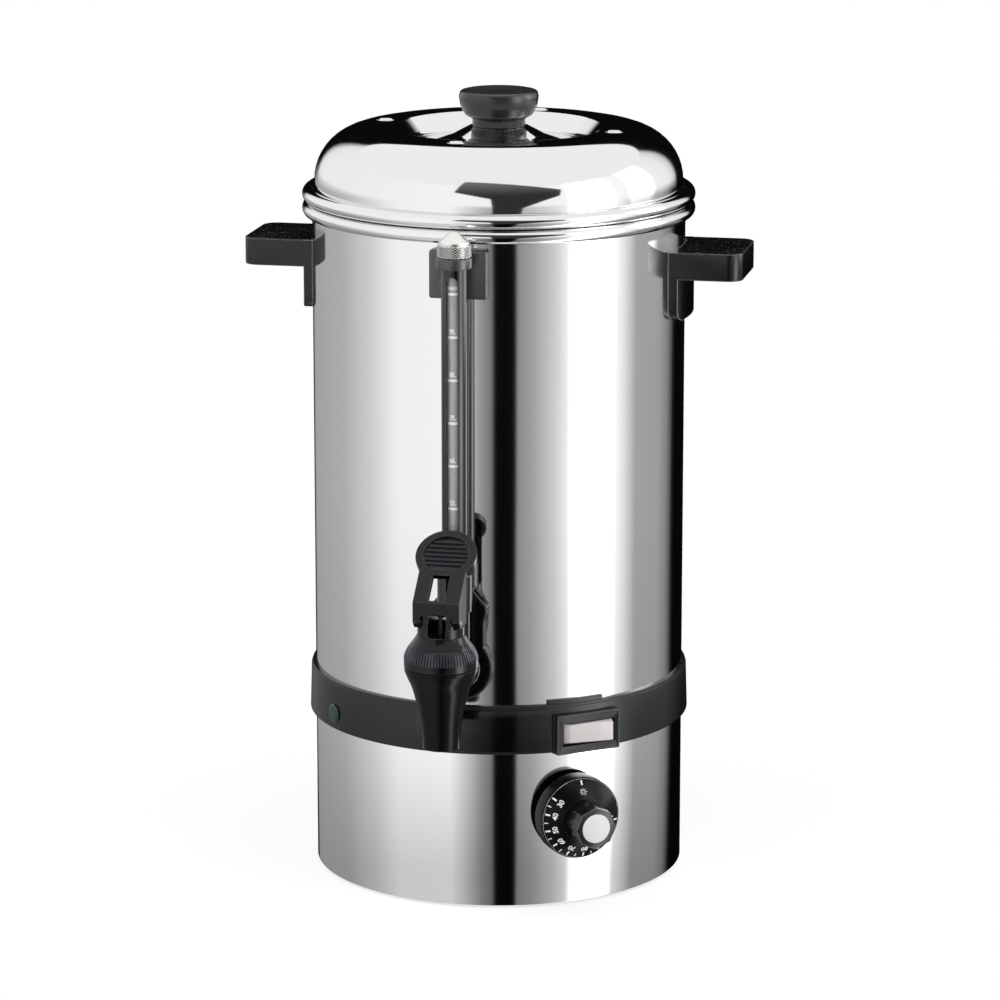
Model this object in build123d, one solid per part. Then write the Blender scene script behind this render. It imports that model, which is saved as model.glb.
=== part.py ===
from build123d import *
from math import asin, cos, radians, sin, sqrt, tan
import os

# Hot water urn: a steel tank over a dry base, with a self-closing tap, a sight gauge, two side
# handles and a lift-off lid. Millimetres. Z is up, and z = 0 is the table. The tank's axis is
# x = y = 0. The tap and the gauge point to -Y, and the handles stand on the X axis.
# An azimuth is counted in degrees from -Y towards +X, and "out" is a distance from the axis.

# Clearances
seat = 0.05  # between pieces that are fastened together
running = 0.06  # radial, of a shaft that turns or slides in its bore
moving = 0.3  # between pieces that pass each other

# Tank: one drawn and welded pot with a rolled rim
tank_radius = 112.5
wall = 0.7
floor_z = 121.0
floor_sheet = 0.8
floor_corner = 3.0
rim_z = 403.0
bead_height = 8.0
bead_reach = 5.9
apron_drop = 12.0  # how far the wall runs on below the floor

# Base: skirt, plate and foot ring
skirt_low = 1.5
neck_height = 8.0
neck_gap = 0.1
plate_z = 6.6
plate_sheet = 1.0
plate_flange = 2.0
foot_width = 10.0
foot_corner = 1.2
foot_screw_gap = 4.8  # from the foot ring to the heads of the base screws
tab_width = 16.0
tab_depth = 16.0
tab_sheet = 2.0
tab_count = 4
screw_radius = 2.0
screw_head_radius = 4.0
screw_head_height = 2.4
screw_length = 9.0

# Plastic band over the joint of tank and base
band_low = 96.3
band_high = 125.5
band_thick = 2.6
band_flare = 0.9
band_lip = 1.7
band_lip_step = 0.45
band_gap = 0.1
front_plate_from = -13.5
front_plate_to = 26.5
front_plate_thick = 0.8
front_plate_foot = 1.6  # from the band's lower edge to the plate
front_plate_head = 0.5  # from the plate to the band's lip
upstand_from = 26.3
upstand_to = 44.3
upstand_rise = 2.7
upstand_thick = 1.5

# Rocker switch
switch_azimuth = 38.4
switch_z = 107.6
bezel_width = 42.0
bezel_height = 24.5
bezel_thick = 3.0
rocker_hole_width = 35.0
rocker_hole_height = 14.3
rocker_hole_depth = 12.0
switch_body_width = 37.6
switch_body_height = 16.8
switch_body_depth = 24.0
pivot_depth = 4.0  # the rocker's pivot, behind the bezel's face
rocker_tilt = 7.0
rocker_gap = 0.25
rocker_crease = -8.0
trunnion_radius = 1.4
trunnion_length = 0.9
spade_width = 6.3
spade_thick = 0.8
spade_length = 8.0

# Pilot lamp
lamp_azimuth = -47.5
lamp_z = 106.2
lens_radius = 5.7
lens_proud = 1.1
lamp_body_radius = 4.8
lamp_body_length = 20.0

# Thermostat and its dial
dial_azimuth = 34.0
dial_z = 58.0
dial_radius = 25.2
dial_gap = 4.4
dial_depth = 10.0
dial_rise = 7.0
dial_wall = 2.0
grip_base_radius = 14.5
grip_top_radius = 13.0
grip_height = 24.0
grip_sides = 8
hub_radius = 5.5
spindle_radius = 3.0
spindle_bore_depth = 20.0
cap_radius = 8.8
cap_depth = 1.6
cap_proud = 0.4
thermostat_width = 34.0
thermostat_height = 42.0
thermostat_depth = 22.0
thermostat_screw_spacing = 28.0
bushing_radius = 4.7
bulb_radius = 3.0
bulb_length = 70.0
bulb_back = 22.0
capillary_radius = 0.9

# Heater under the floor
spreader_radius = 72.0
spreader_thick = 5.0
element_radius = 4.0
element_ring = 58.0
element_gap_angle = 26.0
element_leg = 16.0
pin_radius = 1.6
pin_length = 9.0
cutout_radius = 12.5
cutout_height = 10.0
cutout_back = -26.0
cutout_button = 2.5

# Mains entry at the back
inlet_z = 40.0
gland_bore = 4.2
gland_thread = 7.5
gland_flange = 11.0
gland_flange_thick = 3.2
gland_nose = 7.0
gland_inside = 13.0
gland_nut_flats = 19.0
gland_nut_thick = 4.0
block_length = 44.0
block_width = 20.0
block_height = 15.0
block_inset = 39.8  # from the skirt's inside to the block's middle
block_corner = 2.0
block_hole = 2.6
block_hole_depth = 5.0
block_screw_radius = 2.5
block_screw_height = 3.15

# Side handles
handle_drop = 16.0  # the grip's top, below the rim's bead
handle_width = 59.0
handle_grip = 16.5
handle_plate = 42.0
handle_plate_thick = 5.5
handle_reach = 39.8
handle_corner = 9.0
handle_edge = 1.2
handle_plate_corner = 8.0
handle_screw_spacing = 32.0
handle_screw_radius = 2.5
handle_screw_depth = 11.0
handle_screw_head = 4.6
handle_screw_head_height = 2.8

# Lid
lid_rest = 0.3  # over the rim's bead
lid_sheet = 0.7
lid_bead_height = 8.5
lid_plug_gap = 0.8
lid_plug_drop = 6.0
lid_rise = 44.2  # the crest, above the lid's bead seat
lid_shoulder = 32.0
lid_dish_radius = 63.8
lid_dish_floor = 54.0
lid_dish_depth = 10.6
boss_foot = 27.0
boss_radius = 18.0
boss_drop = 8.2
vent_ring = 73.0
vent_start = -8.5
vent_count = 4
vent_flare = 5.6
vent_bore = 3.1
vent_depth = 2.8

# Lid knob
knob_neck = 15.9
knob_neck_height = 4.2
knob_radius = 24.0
knob_height = 21.7
knob_dish = 1.7
insert_radius = 4.2
insert_height = 12.0
knob_screw_radius = 2.5
knob_washer_radius = 9.0
knob_washer_thick = 1.2

# Sight gauge
gauge_standoff = 15.5
tube_radius = 5.0
tube_wall = 1.0
guard_radius = 7.65
guard_wall = 1.3
guard_slot = 7.0
guard_slot_drop = 11.0
bracket_drop = 3.5
bracket_width = 34.5
bracket_height = 28.5
bracket_thick = 6.3
collar_radius = 11.5
collar_height = 6.4
collar_drop = 2.0
spigot_radius = 7.0
spigot_height = 5.6
bracket_screw_spacing = 25.0
nut_radius = 10.0
nut_knurl_height = 7.6
nut_teeth = 44
nut_tooth = 0.5
nut_groove = 0.9
nut_cone_base = 9.0
nut_cone_tip = 1.9
nut_cone_height = 6.4
nut_vent = 0.7

# Tap, measured from its shank's axis
tap_z = 150.0
spout_reach = 54.0
shank_radius = 8.2
shank_bore = 5.0
shank_collar = 11.0
shank_inside = 15.0
flange_radius = 20.0
flange_thick = 6.0
banjo_radius = 12.5
banjo_depth = 24.9
column_radius = 9.2
column_rise = 48.1
wing_width = 34.0
wing_low = 33.0
wing_high = 37.5
wing_top = 47.5
feed_radius = 2.2
gasket_radius = 14.0
gasket_thick = 3.4
tap_nut_flats = 25.0
tap_nut_thick = 6.0
outlet_drop = 35.1
outlet_radius = 10.65
outlet_bore = 6.5
chamber_radius = 12.5
seat_drop = 9.0
body_lip_radius = 21.4
body_lip_rise = 11.5
body_lip_height = 2.2
body_thread = 18.0
body_top_rise = 23.9
rib_width = 9.6
rib_proud = 0.6
rib_top_drop = 5.1
bonnet_radius = 21.7
bonnet_low_rise = 13.9
bonnet_knurl_rise = 18.2
bonnet_knurl_height = 8.6
bonnet_top_rise = 32.9
bonnet_teeth = 74
bonnet_tooth = 0.45
yoke_radius = 13.75
yoke_flange = 17.2
yoke_flange_thick = 2.2
yoke_round_rise = 38.1
yoke_rise = 48.9
yoke_cheek = 9.4
yoke_slot = 5.35
yoke_slot_rise = 33.4
yoke_slot_back = 5.0
yoke_front = 11.0
lever_pivot_out = 8.5
lever_pivot_rise = 42.4
lever_open = 30.0
pivot_pin_radius = 1.5
lever_width = 27.5
lever_apron_thick = 2.6
lever_apron_low = 43.4
lever_arch_rise = 4.9
lever_fold_rise = 54.7
lever_arm_thick = 3.5
lever_arm_rise_angle = 38.0
lever_arm_length = 36.0
lever_cheek_low = 38.9
lever_cheek_back = 14.5
thumb_radius = 18.0
thumb_dish = 13.6
thumb_dish_depth = 1.6
thumb_ridges = 7
thumb_ridge_pitch = 3.2
thumb_ridge_width = 1.5
thumb_ridge_height = 1.1
window_width = 10.2
window_from = 1.8
window_to = 20.6
stem_radius = 2.0
stem_head_radius = 2.9
stem_head_rise = 46.9
stem_barb_radius = 3.2
stem_barb_height = 3.0
lift_pin_length = 24.0
lift_slot_slack = 0.4
cup_radius = 9.5
cup_height = 7.0
cup_neck = 4.4
cup_neck_height = 4.0
cup_foot = 5.0  # the thickness of rubber below the stem's barb
spring_radius = 5.9
spring_wire = 0.6
spring_turns = 7

# Places that several pieces share
tank_inner = tank_radius - wall
floor_under = floor_z - floor_sheet
tank_low = floor_under - apron_drop
bead_top = rim_z + bead_height
neck_outer = tank_inner - neck_gap
band_inner = tank_radius + band_gap
band_outer_top = band_inner + band_thick
pad_out = band_outer_top + band_flare / 2
gauge_out = tank_radius + gauge_standoff
spout_out = tank_radius + spout_reach
lid_z = bead_top + lid_rest
crest_z = lid_z + lid_rise
bracket_top = rim_z - bracket_drop
collar_top = bracket_top - collar_drop
spigot_top = collar_top + spigot_height
handle_top = rim_z - handle_drop
handle_screw_z = handle_top - handle_grip / 2
seat_z = tap_z - seat_drop
column_top = tap_z + column_rise
bonnet_low = tap_z + bonnet_low_rise
body_top = tap_z + body_top_rise
yoke_flange_top = body_top + seat + yoke_flange_thick
pivot_z = tap_z + lever_pivot_rise
pivot_out = spout_out + lever_pivot_out
spreader_low = floor_under - seat - spreader_thick
dial_back = tank_radius + dial_gap
knob_z = crest_z + seat


def upright(radius, low, high, x=0.0, out=0.0):
    """A rod that stands upright."""
    return extrude(Plane.XY.offset(low) * Pos(x, -out) * Circle(radius), high - low)


def outward(radius, start, end, x=0.0, z=0.0):
    """A rod that points to -Y."""
    return extrude(Plane.XZ.offset(start) * Pos(x, z) * Circle(radius), end - start)


def outward_block(width, height, start, end, x=0.0, z=0.0):
    """A block that points to -Y."""
    return extrude(Plane.XZ.offset(start) * Pos(x, z) * Rectangle(width, height), end - start)


def sideways(radius, start, end, out, z):
    """A rod along X, at a place out from the axis."""
    return extrude(Plane.YZ.offset(start) * Pos(-out, z) * Circle(radius), end - start)


def turned(*outline, rounds=0.0):
    """A solid of revolution about the Z axis, from the radius and height of its corners."""
    return revolve(Plane.XZ * make_face(FilletPolyline(*outline, radius=rounds, close=True)), Axis.Z)


def sector(face, start, end):
    """A face of radius and height, swept about the Z axis from one azimuth to another."""
    return Rot(0, 0, start - 90) * revolve(Plane.XZ * face, Axis.Z, revolution_arc=end - start)


def facing(azimuth, out, height):
    """The place on the body whose own Z points straight out and whose own Y points up."""
    a = radians(azimuth)
    return Plane(
        origin=(out * sin(a), -out * cos(a), height),
        x_dir=(cos(a), sin(a), 0),
        z_dir=(sin(a), -cos(a), 0),
    ).location


def toothed(radius, depth, teeth, low, high):
    """A disc whose rim carries straight knurling."""
    points = []
    for i in range(teeth):
        for part, r in ((0.0, radius), (0.4, radius), (0.55, radius - depth), (0.85, radius - depth)):
            a = 2 * 180 / teeth * (i + part)
            points.append((r * cos(radians(a)), r * sin(radians(a))))
    return extrude(Plane.XY.offset(low) * make_face(Polyline(*points, close=True)), high - low)


def hexagon(flats, start, end, z):
    """A hexagonal bar that points to -Y."""
    across = flats / 2 / cos(radians(30))
    return extrude(Plane.XZ.offset(start) * Pos(0, z) * RegularPolygon(across, 6), end - start)


def band_outer(z):
    """The band's outside radius, which widens downwards."""
    return band_outer_top + band_flare * (band_high - z) / (band_high - band_low)


# ---- Tank and base


def handle_screw_rods(radius, start, end):
    """The four places of the handle screws, as rods from the tank outwards."""
    places = [(side, x) for side in (-90, 90) for x in (-1, 1)]
    half = handle_screw_spacing / 2
    return [
        Rot(0, 0, side) * outward(radius, start, end, x * half, handle_screw_z)
        for side, x in places
    ]


def bracket_screw_rods(radius, start, end):
    """The two places of the screws that hold the gauge's top bracket."""
    z = bracket_top - bracket_height / 2
    return [outward(radius, start, end, x * bracket_screw_spacing / 2, z) for x in (-1, 1)]


def switch_cut():
    """The rectangular hole that the switch's body goes through."""
    gap = 2 * seat
    place = facing(switch_azimuth, 0, switch_z)
    block = Rectangle(switch_body_width + gap, switch_body_height + gap)
    return place * extrude(Plane.XY.offset(tank_radius * 0.8) * block, tank_radius * 0.4)


def lamp_cut():
    """The round hole that the pilot lamp's body goes through."""
    place = facing(lamp_azimuth, 0, lamp_z)
    return place * upright(lamp_body_radius + seat, tank_radius * 0.8, tank_radius * 1.2)


def tank_pot():
    bead_half = (wall + bead_reach) / 2
    bead_z = rim_z + bead_height / 2
    sheet = make_face(
        FilletPolyline(
            (0, floor_under),
            (tank_inner, floor_under),
            (tank_inner, tank_low),
            (tank_radius, tank_low),
            (tank_radius, bead_z),
            (tank_inner, bead_z),
            (tank_inner, floor_z),
            (0, floor_z),
            radius=[0, 0, 0, 0, 0, 0, floor_corner, 0],
            close=True,
        )
    )
    bead = Pos(tank_inner + bead_half, bead_z) * Ellipse(bead_half, bead_height / 2)
    pot = revolve(Plane.XZ * (sheet + bead), Axis.Z)
    through = (tank_radius - 10, tank_radius + 10)
    pot -= outward(shank_radius + seat, *through, z=tap_z)
    pot -= handle_screw_rods(handle_screw_radius + seat, *through)
    pot -= bracket_screw_rods(screw_radius + seat, *through)
    return pot - switch_cut() - lamp_cut()


def base_skirt():
    neck_z = tank_low - seat
    neck_inner = neck_outer - wall
    step = tank_radius - neck_outer
    skirt = turned(
        (tank_radius, skirt_low),
        (tank_radius, neck_z),
        (neck_outer, neck_z),
        (neck_outer, neck_z + neck_height),
        (neck_inner, neck_z + neck_height),
        (neck_inner, neck_z - step),
        (tank_inner, neck_z - 2 * step),
        (tank_inner, skirt_low),
    )
    tab_z = plate_z + plate_sheet + seat
    tab_out = tank_inner - tab_depth
    tab = outward_block(tab_width, tab_sheet, tab_out, tank_radius - wall / 2, z=tab_z + tab_sheet / 2)
    tab &= upright(tank_radius - wall / 2, 0, plate_z * 4)
    tab -= upright(screw_radius + seat, 0, plate_z * 4, out=base_screw_out())
    for i in range(tab_count):
        skirt += Rot(0, 0, 45 + 360 / tab_count * i) * tab
    wall_holes = facing(dial_azimuth, 0, dial_z)
    half = thermostat_screw_spacing / 2
    skirt -= wall_holes * upright(bushing_radius + seat, tank_radius * 0.9, tank_radius * 1.1)
    for x in (-half, half):
        skirt -= wall_holes * upright(screw_radius + seat, tank_radius * 0.9, tank_radius * 1.1, x)
    skirt -= facing(180, 0, inlet_z) * upright(gland_thread + seat, tank_radius * 0.9, tank_radius * 1.1)
    return skirt - switch_cut() - lamp_cut()


def base_plate():
    edge = tank_inner - seat
    high = plate_z + plate_sheet
    plate = turned(
        (0, plate_z),
        (edge, plate_z),
        (edge, high),
        (0, high),
    )
    flange_low = plate_z - plate_flange
    rim = upright(edge, flange_low, plate_z) - upright(edge - plate_sheet, flange_low, plate_z)
    for place in base_screw_places():
        plate -= place * upright(screw_radius + seat, 0, high * 2)
    return plate + rim


def base_screw_out():
    return tank_inner - tab_depth / 2


def base_screw_places():
    out = base_screw_out()
    return [Rot(0, 0, 45 + 360 / tab_count * i) * Pos(0, -out, 0) for i in range(tab_count)]


def foot_ring():
    """The rubber ring that the urn stands on, inside the circle of the base screws."""
    outer = base_screw_out() - screw_head_radius - foot_screw_gap
    inner = outer - foot_width
    return turned(
        (inner, 0),
        (outer, 0),
        (outer, plate_z - seat),
        (inner, plate_z - seat),
        rounds=[foot_corner, foot_corner, 0, 0],
    )


def base_screws():
    head_top = plate_z - seat
    screw = turned(
        (0, head_top - screw_head_height),
        (screw_head_radius, head_top - screw_head_height),
        (screw_head_radius, head_top),
        (screw_radius, head_top),
        (screw_radius, head_top + screw_length),
        (0, head_top + screw_length),
        rounds=[0, 1.2, 0, 0, 0.6, 0],
    )
    return [place * screw for place in base_screw_places()]


# ---- Band, name plate, switch and lamp


def band_ring():
    lip_z = band_high - band_lip
    ring = turned(
        (band_inner, band_low),
        (band_outer(band_low), band_low),
        (band_outer(lip_z), lip_z),
        (band_outer(lip_z) - band_lip_step, lip_z),
        (band_outer(band_high) - band_lip_step, band_high),
        (band_inner, band_high),
        rounds=[0, 1.0, 0, 0, 0.4, 0],
    )
    pad = facing(switch_azimuth, 0, switch_z) * extrude(
        Plane.XY.offset(tank_radius * 0.9) * Rectangle(bezel_width, bezel_height - 1),
        pad_out - tank_radius * 0.9,
    )
    pad -= upright(band_inner, 0, rim_z)
    tab = make_face(
        Polyline(
            (band_inner, band_low),
            (band_inner + upstand_thick, band_low),
            (band_inner + upstand_thick, band_high + upstand_rise),
            (band_inner, band_high + upstand_rise),
            close=True,
        )
    )
    front = facing(switch_azimuth, 0, switch_z) * extrude(
        Plane.XY.offset(pad_out) * Rectangle(bezel_width + 2, band_high), tank_radius
    )
    ring += pad
    ring += sector(tab, upstand_from, upstand_to)
    ring -= front
    return ring - switch_cut() - lamp_cut()


def front_plate():
    low = band_low + front_plate_foot
    high = band_high - band_lip - front_plate_head
    strip = make_face(
        Polyline(
            (band_outer(low) + seat, low),
            (band_outer(low) + front_plate_thick, low),
            (band_outer(high) + front_plate_thick, high),
            (band_outer(high) + seat, high),
            close=True,
        )
    )
    plate = sector(strip, front_plate_from, front_plate_to)
    return plate


def bezel_face():
    return pad_out + seat + bezel_thick


def switch_housing():
    back = pad_out + seat
    frame = Plane.XY.offset(back) * RectangleRounded(bezel_width, bezel_height, 1.0)
    housing = extrude(frame, bezel_thick, taper=6)
    body = Rectangle(switch_body_width, switch_body_height)
    housing += extrude(Plane.XY.offset(back - switch_body_depth) * body, switch_body_depth)
    hole = Rectangle(rocker_hole_width, rocker_hole_height)
    mouth = bezel_face() - rocker_hole_depth
    housing -= extrude(Plane.XY.offset(mouth) * hole, rocker_hole_depth + 1)
    bore = trunnion_radius + running
    reach = rocker_hole_height / 2 + trunnion_length + moving
    housing -= extrude(
        Plane.XZ.offset(-reach) * Pos(0, bezel_face() - pivot_depth) * Circle(bore), 2 * reach
    )
    return facing(switch_azimuth, 0, switch_z) * housing


def switch_rocker():
    """The rocker pivots about an upright line; its right half stands proud, its left slopes in."""
    half = rocker_hole_width / 2 - rocker_gap
    low = -5.0
    left, crease, right = 2.2, 5.2, 6.0
    face = make_face(
        Polyline(
            (-half, low),
            (half, low),
            (half, right),
            (rocker_crease, crease),
            (-half, left),
            close=True,
        )
    )
    swing = Circle(half)
    height = rocker_hole_height - 2 * rocker_gap
    rocker = extrude(face & swing, height / 2, both=True)
    rocker = fillet(rocker.edges().filter_by(Axis.Z).group_by(Axis.Y)[-1], 0.8)
    rocker += extrude(Circle(trunnion_radius), height / 2 + rocker_gap + trunnion_length, both=True)
    # its own drawing has the outward way along Y and the pivot along Z
    rocker = Rot(90, 0, 0) * Rot(0, 0, rocker_tilt) * rocker
    place = facing(switch_azimuth, bezel_face() - pivot_depth, switch_z)
    return place * rocker


def switch_spades():
    back = pad_out + seat - switch_body_depth
    blade = Plane.XY.offset(back - spade_length) * Rectangle(spade_thick, spade_width)
    spade = extrude(blade, spade_length - seat)
    place = facing(switch_azimuth, 0, switch_z)
    return [
        place * Pos(x * switch_body_width / 4, y * switch_body_height / 4, 0) * spade
        for x in (-1, 1)
        for y in (-1, 1)
    ]


def lamp_lens():
    back = band_outer(lamp_z - lens_radius) + seat
    lens = turned(
        (0, back),
        (lens_radius, back),
        (lens_radius, back + lens_proud * 0.6),
        (lens_radius * 0.75, back + lens_proud),
        (0, back + lens_proud),
        rounds=[0, 0, 0.3, 1.2, 0],
    )
    return facing(lamp_azimuth, 0, lamp_z) * lens


def lamp_body():
    face = band_outer(lamp_z)
    back = face - lamp_body_length
    body = turned(
        (0, back),
        (lamp_body_radius, back),
        (lamp_body_radius, face),
        (0, face),
        rounds=[0, 0.8, 0, 0],
    )
    for x in (-lamp_body_radius / 2, lamp_body_radius / 2):
        body += upright(0.8, back - spade_length, back, x)
    return facing(lamp_azimuth, 0, lamp_z) * body


# ---- Thermostat, dial and heater


def thermostat_body():
    """The thermostat stands flat behind the curved skirt and meets it at its two sides."""
    half = thermostat_width / 2
    front = sqrt(tank_inner**2 - half**2) - seat
    back = front - thermostat_depth
    case = Plane.XY.offset(back) * RectangleRounded(thermostat_width, thermostat_height, 3)
    body = extrude(case, thermostat_depth)
    body += upright(bushing_radius, front, tank_radius + 2.0)
    body -= upright(spindle_radius + running, back + 4, tank_radius + 3)
    for x in (-1, 1):
        place = x * thermostat_screw_spacing / 2
        body -= upright(screw_radius + seat, front - 8, tank_radius, place)
        blade = Plane.XY.offset(back - spade_length) * Rectangle(spade_thick, spade_width)
        body += Pos(x * half / 2, 0, 0) * extrude(blade, spade_length)
    return facing(dial_azimuth, 0, dial_z) * body


def thermostat_screws():
    half = thermostat_screw_spacing / 2
    reach = half - screw_head_radius
    head_back = sqrt(tank_radius**2 - reach**2) + seat
    tip = sqrt(tank_inner**2 - (thermostat_width / 2) ** 2) - 7
    screw = turned(
        (0, tip),
        (screw_radius, tip),
        (screw_radius, head_back),
        (screw_head_radius, head_back),
        (screw_head_radius, head_back + screw_head_height),
        (0, head_back + screw_head_height),
        rounds=[0, 0.5, 0, 0, 1.2, 0],
    )
    place = facing(dial_azimuth, 0, dial_z)
    return [place * Pos(x, 0, 0) * screw for x in (-half, half)]


def spindle():
    back = sqrt(tank_inner**2 - (thermostat_width / 2) ** 2) - thermostat_depth + 5
    end = dial_back + dial_depth + spindle_bore_depth - 6
    rod = upright(spindle_radius, back, end)
    flat = Plane.XY.offset(end - 10) * Pos(0, spindle_radius * 1.5) * Rectangle(8, spindle_radius * 2)
    rod -= extrude(flat, 11)
    return facing(dial_azimuth, 0, dial_z) * rod


def dial_knob():
    face = dial_depth
    disc = turned(
        (0, 2),
        (dial_radius - dial_wall, 2),
        (dial_radius - dial_wall, 0),
        (dial_radius, 0),
        (dial_radius - 0.2, face),
        (grip_base_radius - 1, face + dial_rise),
        (0, face + dial_rise),
        rounds=[0, 0, 0, 0.4, 1.0, 0, 0],
    )
    hollow = turned(
        (0, -1),
        (dial_radius - dial_wall, -1),
        (dial_radius - dial_wall, face - dial_wall),
        (grip_base_radius - dial_wall, face + dial_rise - dial_wall * 1.4),
        (0, face + dial_rise - dial_wall * 1.4),
    )
    hub = upright(hub_radius, 0.4, face + dial_rise)
    base = Plane.XY.offset(face + dial_rise * 0.6) * RegularPolygon(grip_base_radius, grip_sides)
    top = Plane.XY.offset(face + grip_height) * RegularPolygon(grip_top_radius, grip_sides)
    grip = loft([base, top])
    grip = chamfer(grip.faces().sort_by(Axis.Z)[-1].edges(), 0.8)
    knob = disc - hollow + hub + grip
    knob -= upright(spindle_radius + seat, -1, spindle_bore_depth + face - 5.5)
    knob -= upright(cap_radius + seat, face + grip_height - cap_depth, face + grip_height + 1)
    return facing(dial_azimuth, dial_back, dial_z) * knob


def dial_cap():
    top = dial_depth + grip_height
    cap = turned(
        (0, top - cap_depth + seat),
        (cap_radius, top - cap_depth + seat),
        (cap_radius, top + cap_proud),
        (0, top + cap_proud),
        rounds=[0, 0, 0.5, 0],
    )
    return facing(dial_azimuth, dial_back, dial_z) * cap


def bulb_z():
    return spreader_low - seat - bulb_radius


def thermostat_bulb():
    """The liquid bulb lies under the spreader; its capillary runs down to the thermostat."""
    z = bulb_z()
    bulb = sideways(bulb_radius, -bulb_length / 2, bulb_length / 2, bulb_back, z)
    bulb = fillet(bulb.edges(), bulb_radius * 0.6)
    a = radians(dial_azimuth)
    body_out = sqrt(tank_inner**2 - (thermostat_width / 2) ** 2) - thermostat_depth / 2
    body_top_z = dial_z + thermostat_height / 2 + seat
    start = (bulb_length / 2 - 1, -bulb_back, z)
    end = (body_out * sin(a), -body_out * cos(a), body_top_z)
    line = FilletPolyline(
        start,
        (bulb_length / 2 + 9, -bulb_back, z),
        (bulb_length / 2 + 9, -bulb_back, z - 14),
        (end[0], end[1], body_top_z + 12),
        end,
        radius=4,
    )
    tube = sweep(Plane(origin=start, z_dir=(1, 0, 0)) * Circle(capillary_radius), path=line)
    return bulb + tube


def bulb_clip():
    """A strap that holds the bulb up against the spreader."""
    z = bulb_z()
    half = 7.0
    sheet = 1.0
    grip = bulb_radius + seat
    strap = sideways(grip + sheet, -half, half, bulb_back, z)
    top = z + bulb_radius
    ears = Plane.XY.offset(top - sheet) * Pos(0, -bulb_back) * Rectangle(2 * half, 26)
    clip = strap + extrude(ears, sheet)
    clip -= sideways(grip, -half - 1, half + 1, bulb_back, z)
    over = Plane.XY.offset(top) * Pos(0, -bulb_back) * Rectangle(4 * half, 40)
    clip -= extrude(over, 10)
    slot = Plane.XY.offset(z) * Pos(0, -bulb_back) * Rectangle(4 * half, 2 * grip)
    return clip - extrude(slot, 10)


def heat_spreader():
    return turned(
        (0, spreader_low),
        (spreader_radius, spreader_low),
        (spreader_radius, spreader_low + spreader_thick),
        (0, spreader_low + spreader_thick),
        rounds=[0, 1.5, 0, 0],
    )


def heating_element():
    """A tubular ring under the spreader, open at the back, with its two legs turned down."""
    z = spreader_low - seat - element_radius
    gap = element_gap_angle / 2
    ring = sector(Pos(element_ring, z) * Circle(element_radius), -180 + gap, 180 - gap)
    for side in (-1, 1):
        place = Rot(0, 0, 180 + side * gap)
        leg = upright(element_radius, z - element_leg, z, out=element_ring)
        leg += Pos(0, -element_ring, z) * Sphere(element_radius)
        leg += upright(pin_radius, z - element_leg - pin_length, z, out=element_ring)
        ring += place * leg
    return ring


def safety_cutout():
    """The boil-dry cut-out: a disc thermostat with a reset button, pressed to the spreader."""
    top = spreader_low - seat
    low = top - cutout_height
    body = turned(
        (0, low),
        (cutout_radius, low),
        (cutout_radius, top - 2),
        (cutout_radius + 2.5, top - 2),
        (cutout_radius + 2.5, top),
        (0, top),
        rounds=[0, 1, 0, 0, 0, 0],
    )
    body += upright(cutout_button, low - 4, low)
    for x in (-1, 1):
        blade = Plane.XY.offset(low - spade_length) * Pos(x * 8, 0) * Rectangle(spade_thick, spade_width)
        body += extrude(blade, spade_length)
    return Pos(0, -cutout_back, 0) * body


def earth_stud():
    z = floor_under - seat
    stud = upright(2.5, z - 18, z, x=-86)
    stud += extrude(Plane.XY.offset(z - 3) * Pos(-86, 0) * RegularPolygon(6, 6), 3)
    return stud


def earth_nut():
    z = floor_under - 14
    nut = extrude(Plane.XY.offset(z) * Pos(-86, 0) * RegularPolygon(4.6, 6), 4)
    return nut - upright(2.5 + seat, z - 1, z + 5, x=-86)


# ---- Mains entry


def cord_gland():
    face = tank_radius + seat
    gland = turned(
        (gland_bore, tank_radius - gland_inside),
        (gland_thread, tank_radius - gland_inside),
        (gland_thread, face),
        (gland_flange, face),
        (gland_flange, face + gland_flange_thick),
        (gland_thread, face + gland_flange_thick + 1),
        (gland_bore + 1.6, face + gland_flange_thick + gland_nose),
        (gland_bore, face + gland_flange_thick + gland_nose),
        rounds=[0, 0.5, 0, 0, 1.0, 0, 0, 0],
    )
    return facing(180, 0, inlet_z) * gland


def gland_nut():
    across = gland_nut_flats / 2 / cos(radians(30))
    face = sqrt(tank_inner**2 - across**2) - seat
    nut = extrude(Plane.XY.offset(face - gland_nut_thick) * RegularPolygon(across, 6), gland_nut_thick)
    nut -= upright(gland_thread + seat, face - 2 * gland_nut_thick, face + 1)
    return facing(180, 0, inlet_z) * nut


def terminal_block():
    low = plate_z + plate_sheet + seat
    high = low + block_height
    face = RectangleRounded(block_length, block_width, block_corner)
    body = extrude(Plane.XY.offset(low) * Pos(0, block_back()) * face, block_height)
    for x in block_pitches():
        body -= upright(block_hole, high - block_hole_depth, high + 1, x=x, out=-block_back())
    return body


def block_back():
    return tank_inner - block_inset


def block_pitches():
    return [block_length / 3 * i for i in (-1, 0, 1)]


def terminal_screws():
    low = plate_z + plate_sheet + seat + block_height - block_hole_depth + seat
    high = low + block_screw_height
    return [upright(block_screw_radius, low, high, x=x, out=-block_back()) for x in block_pitches()]


# ---- Handles


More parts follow.
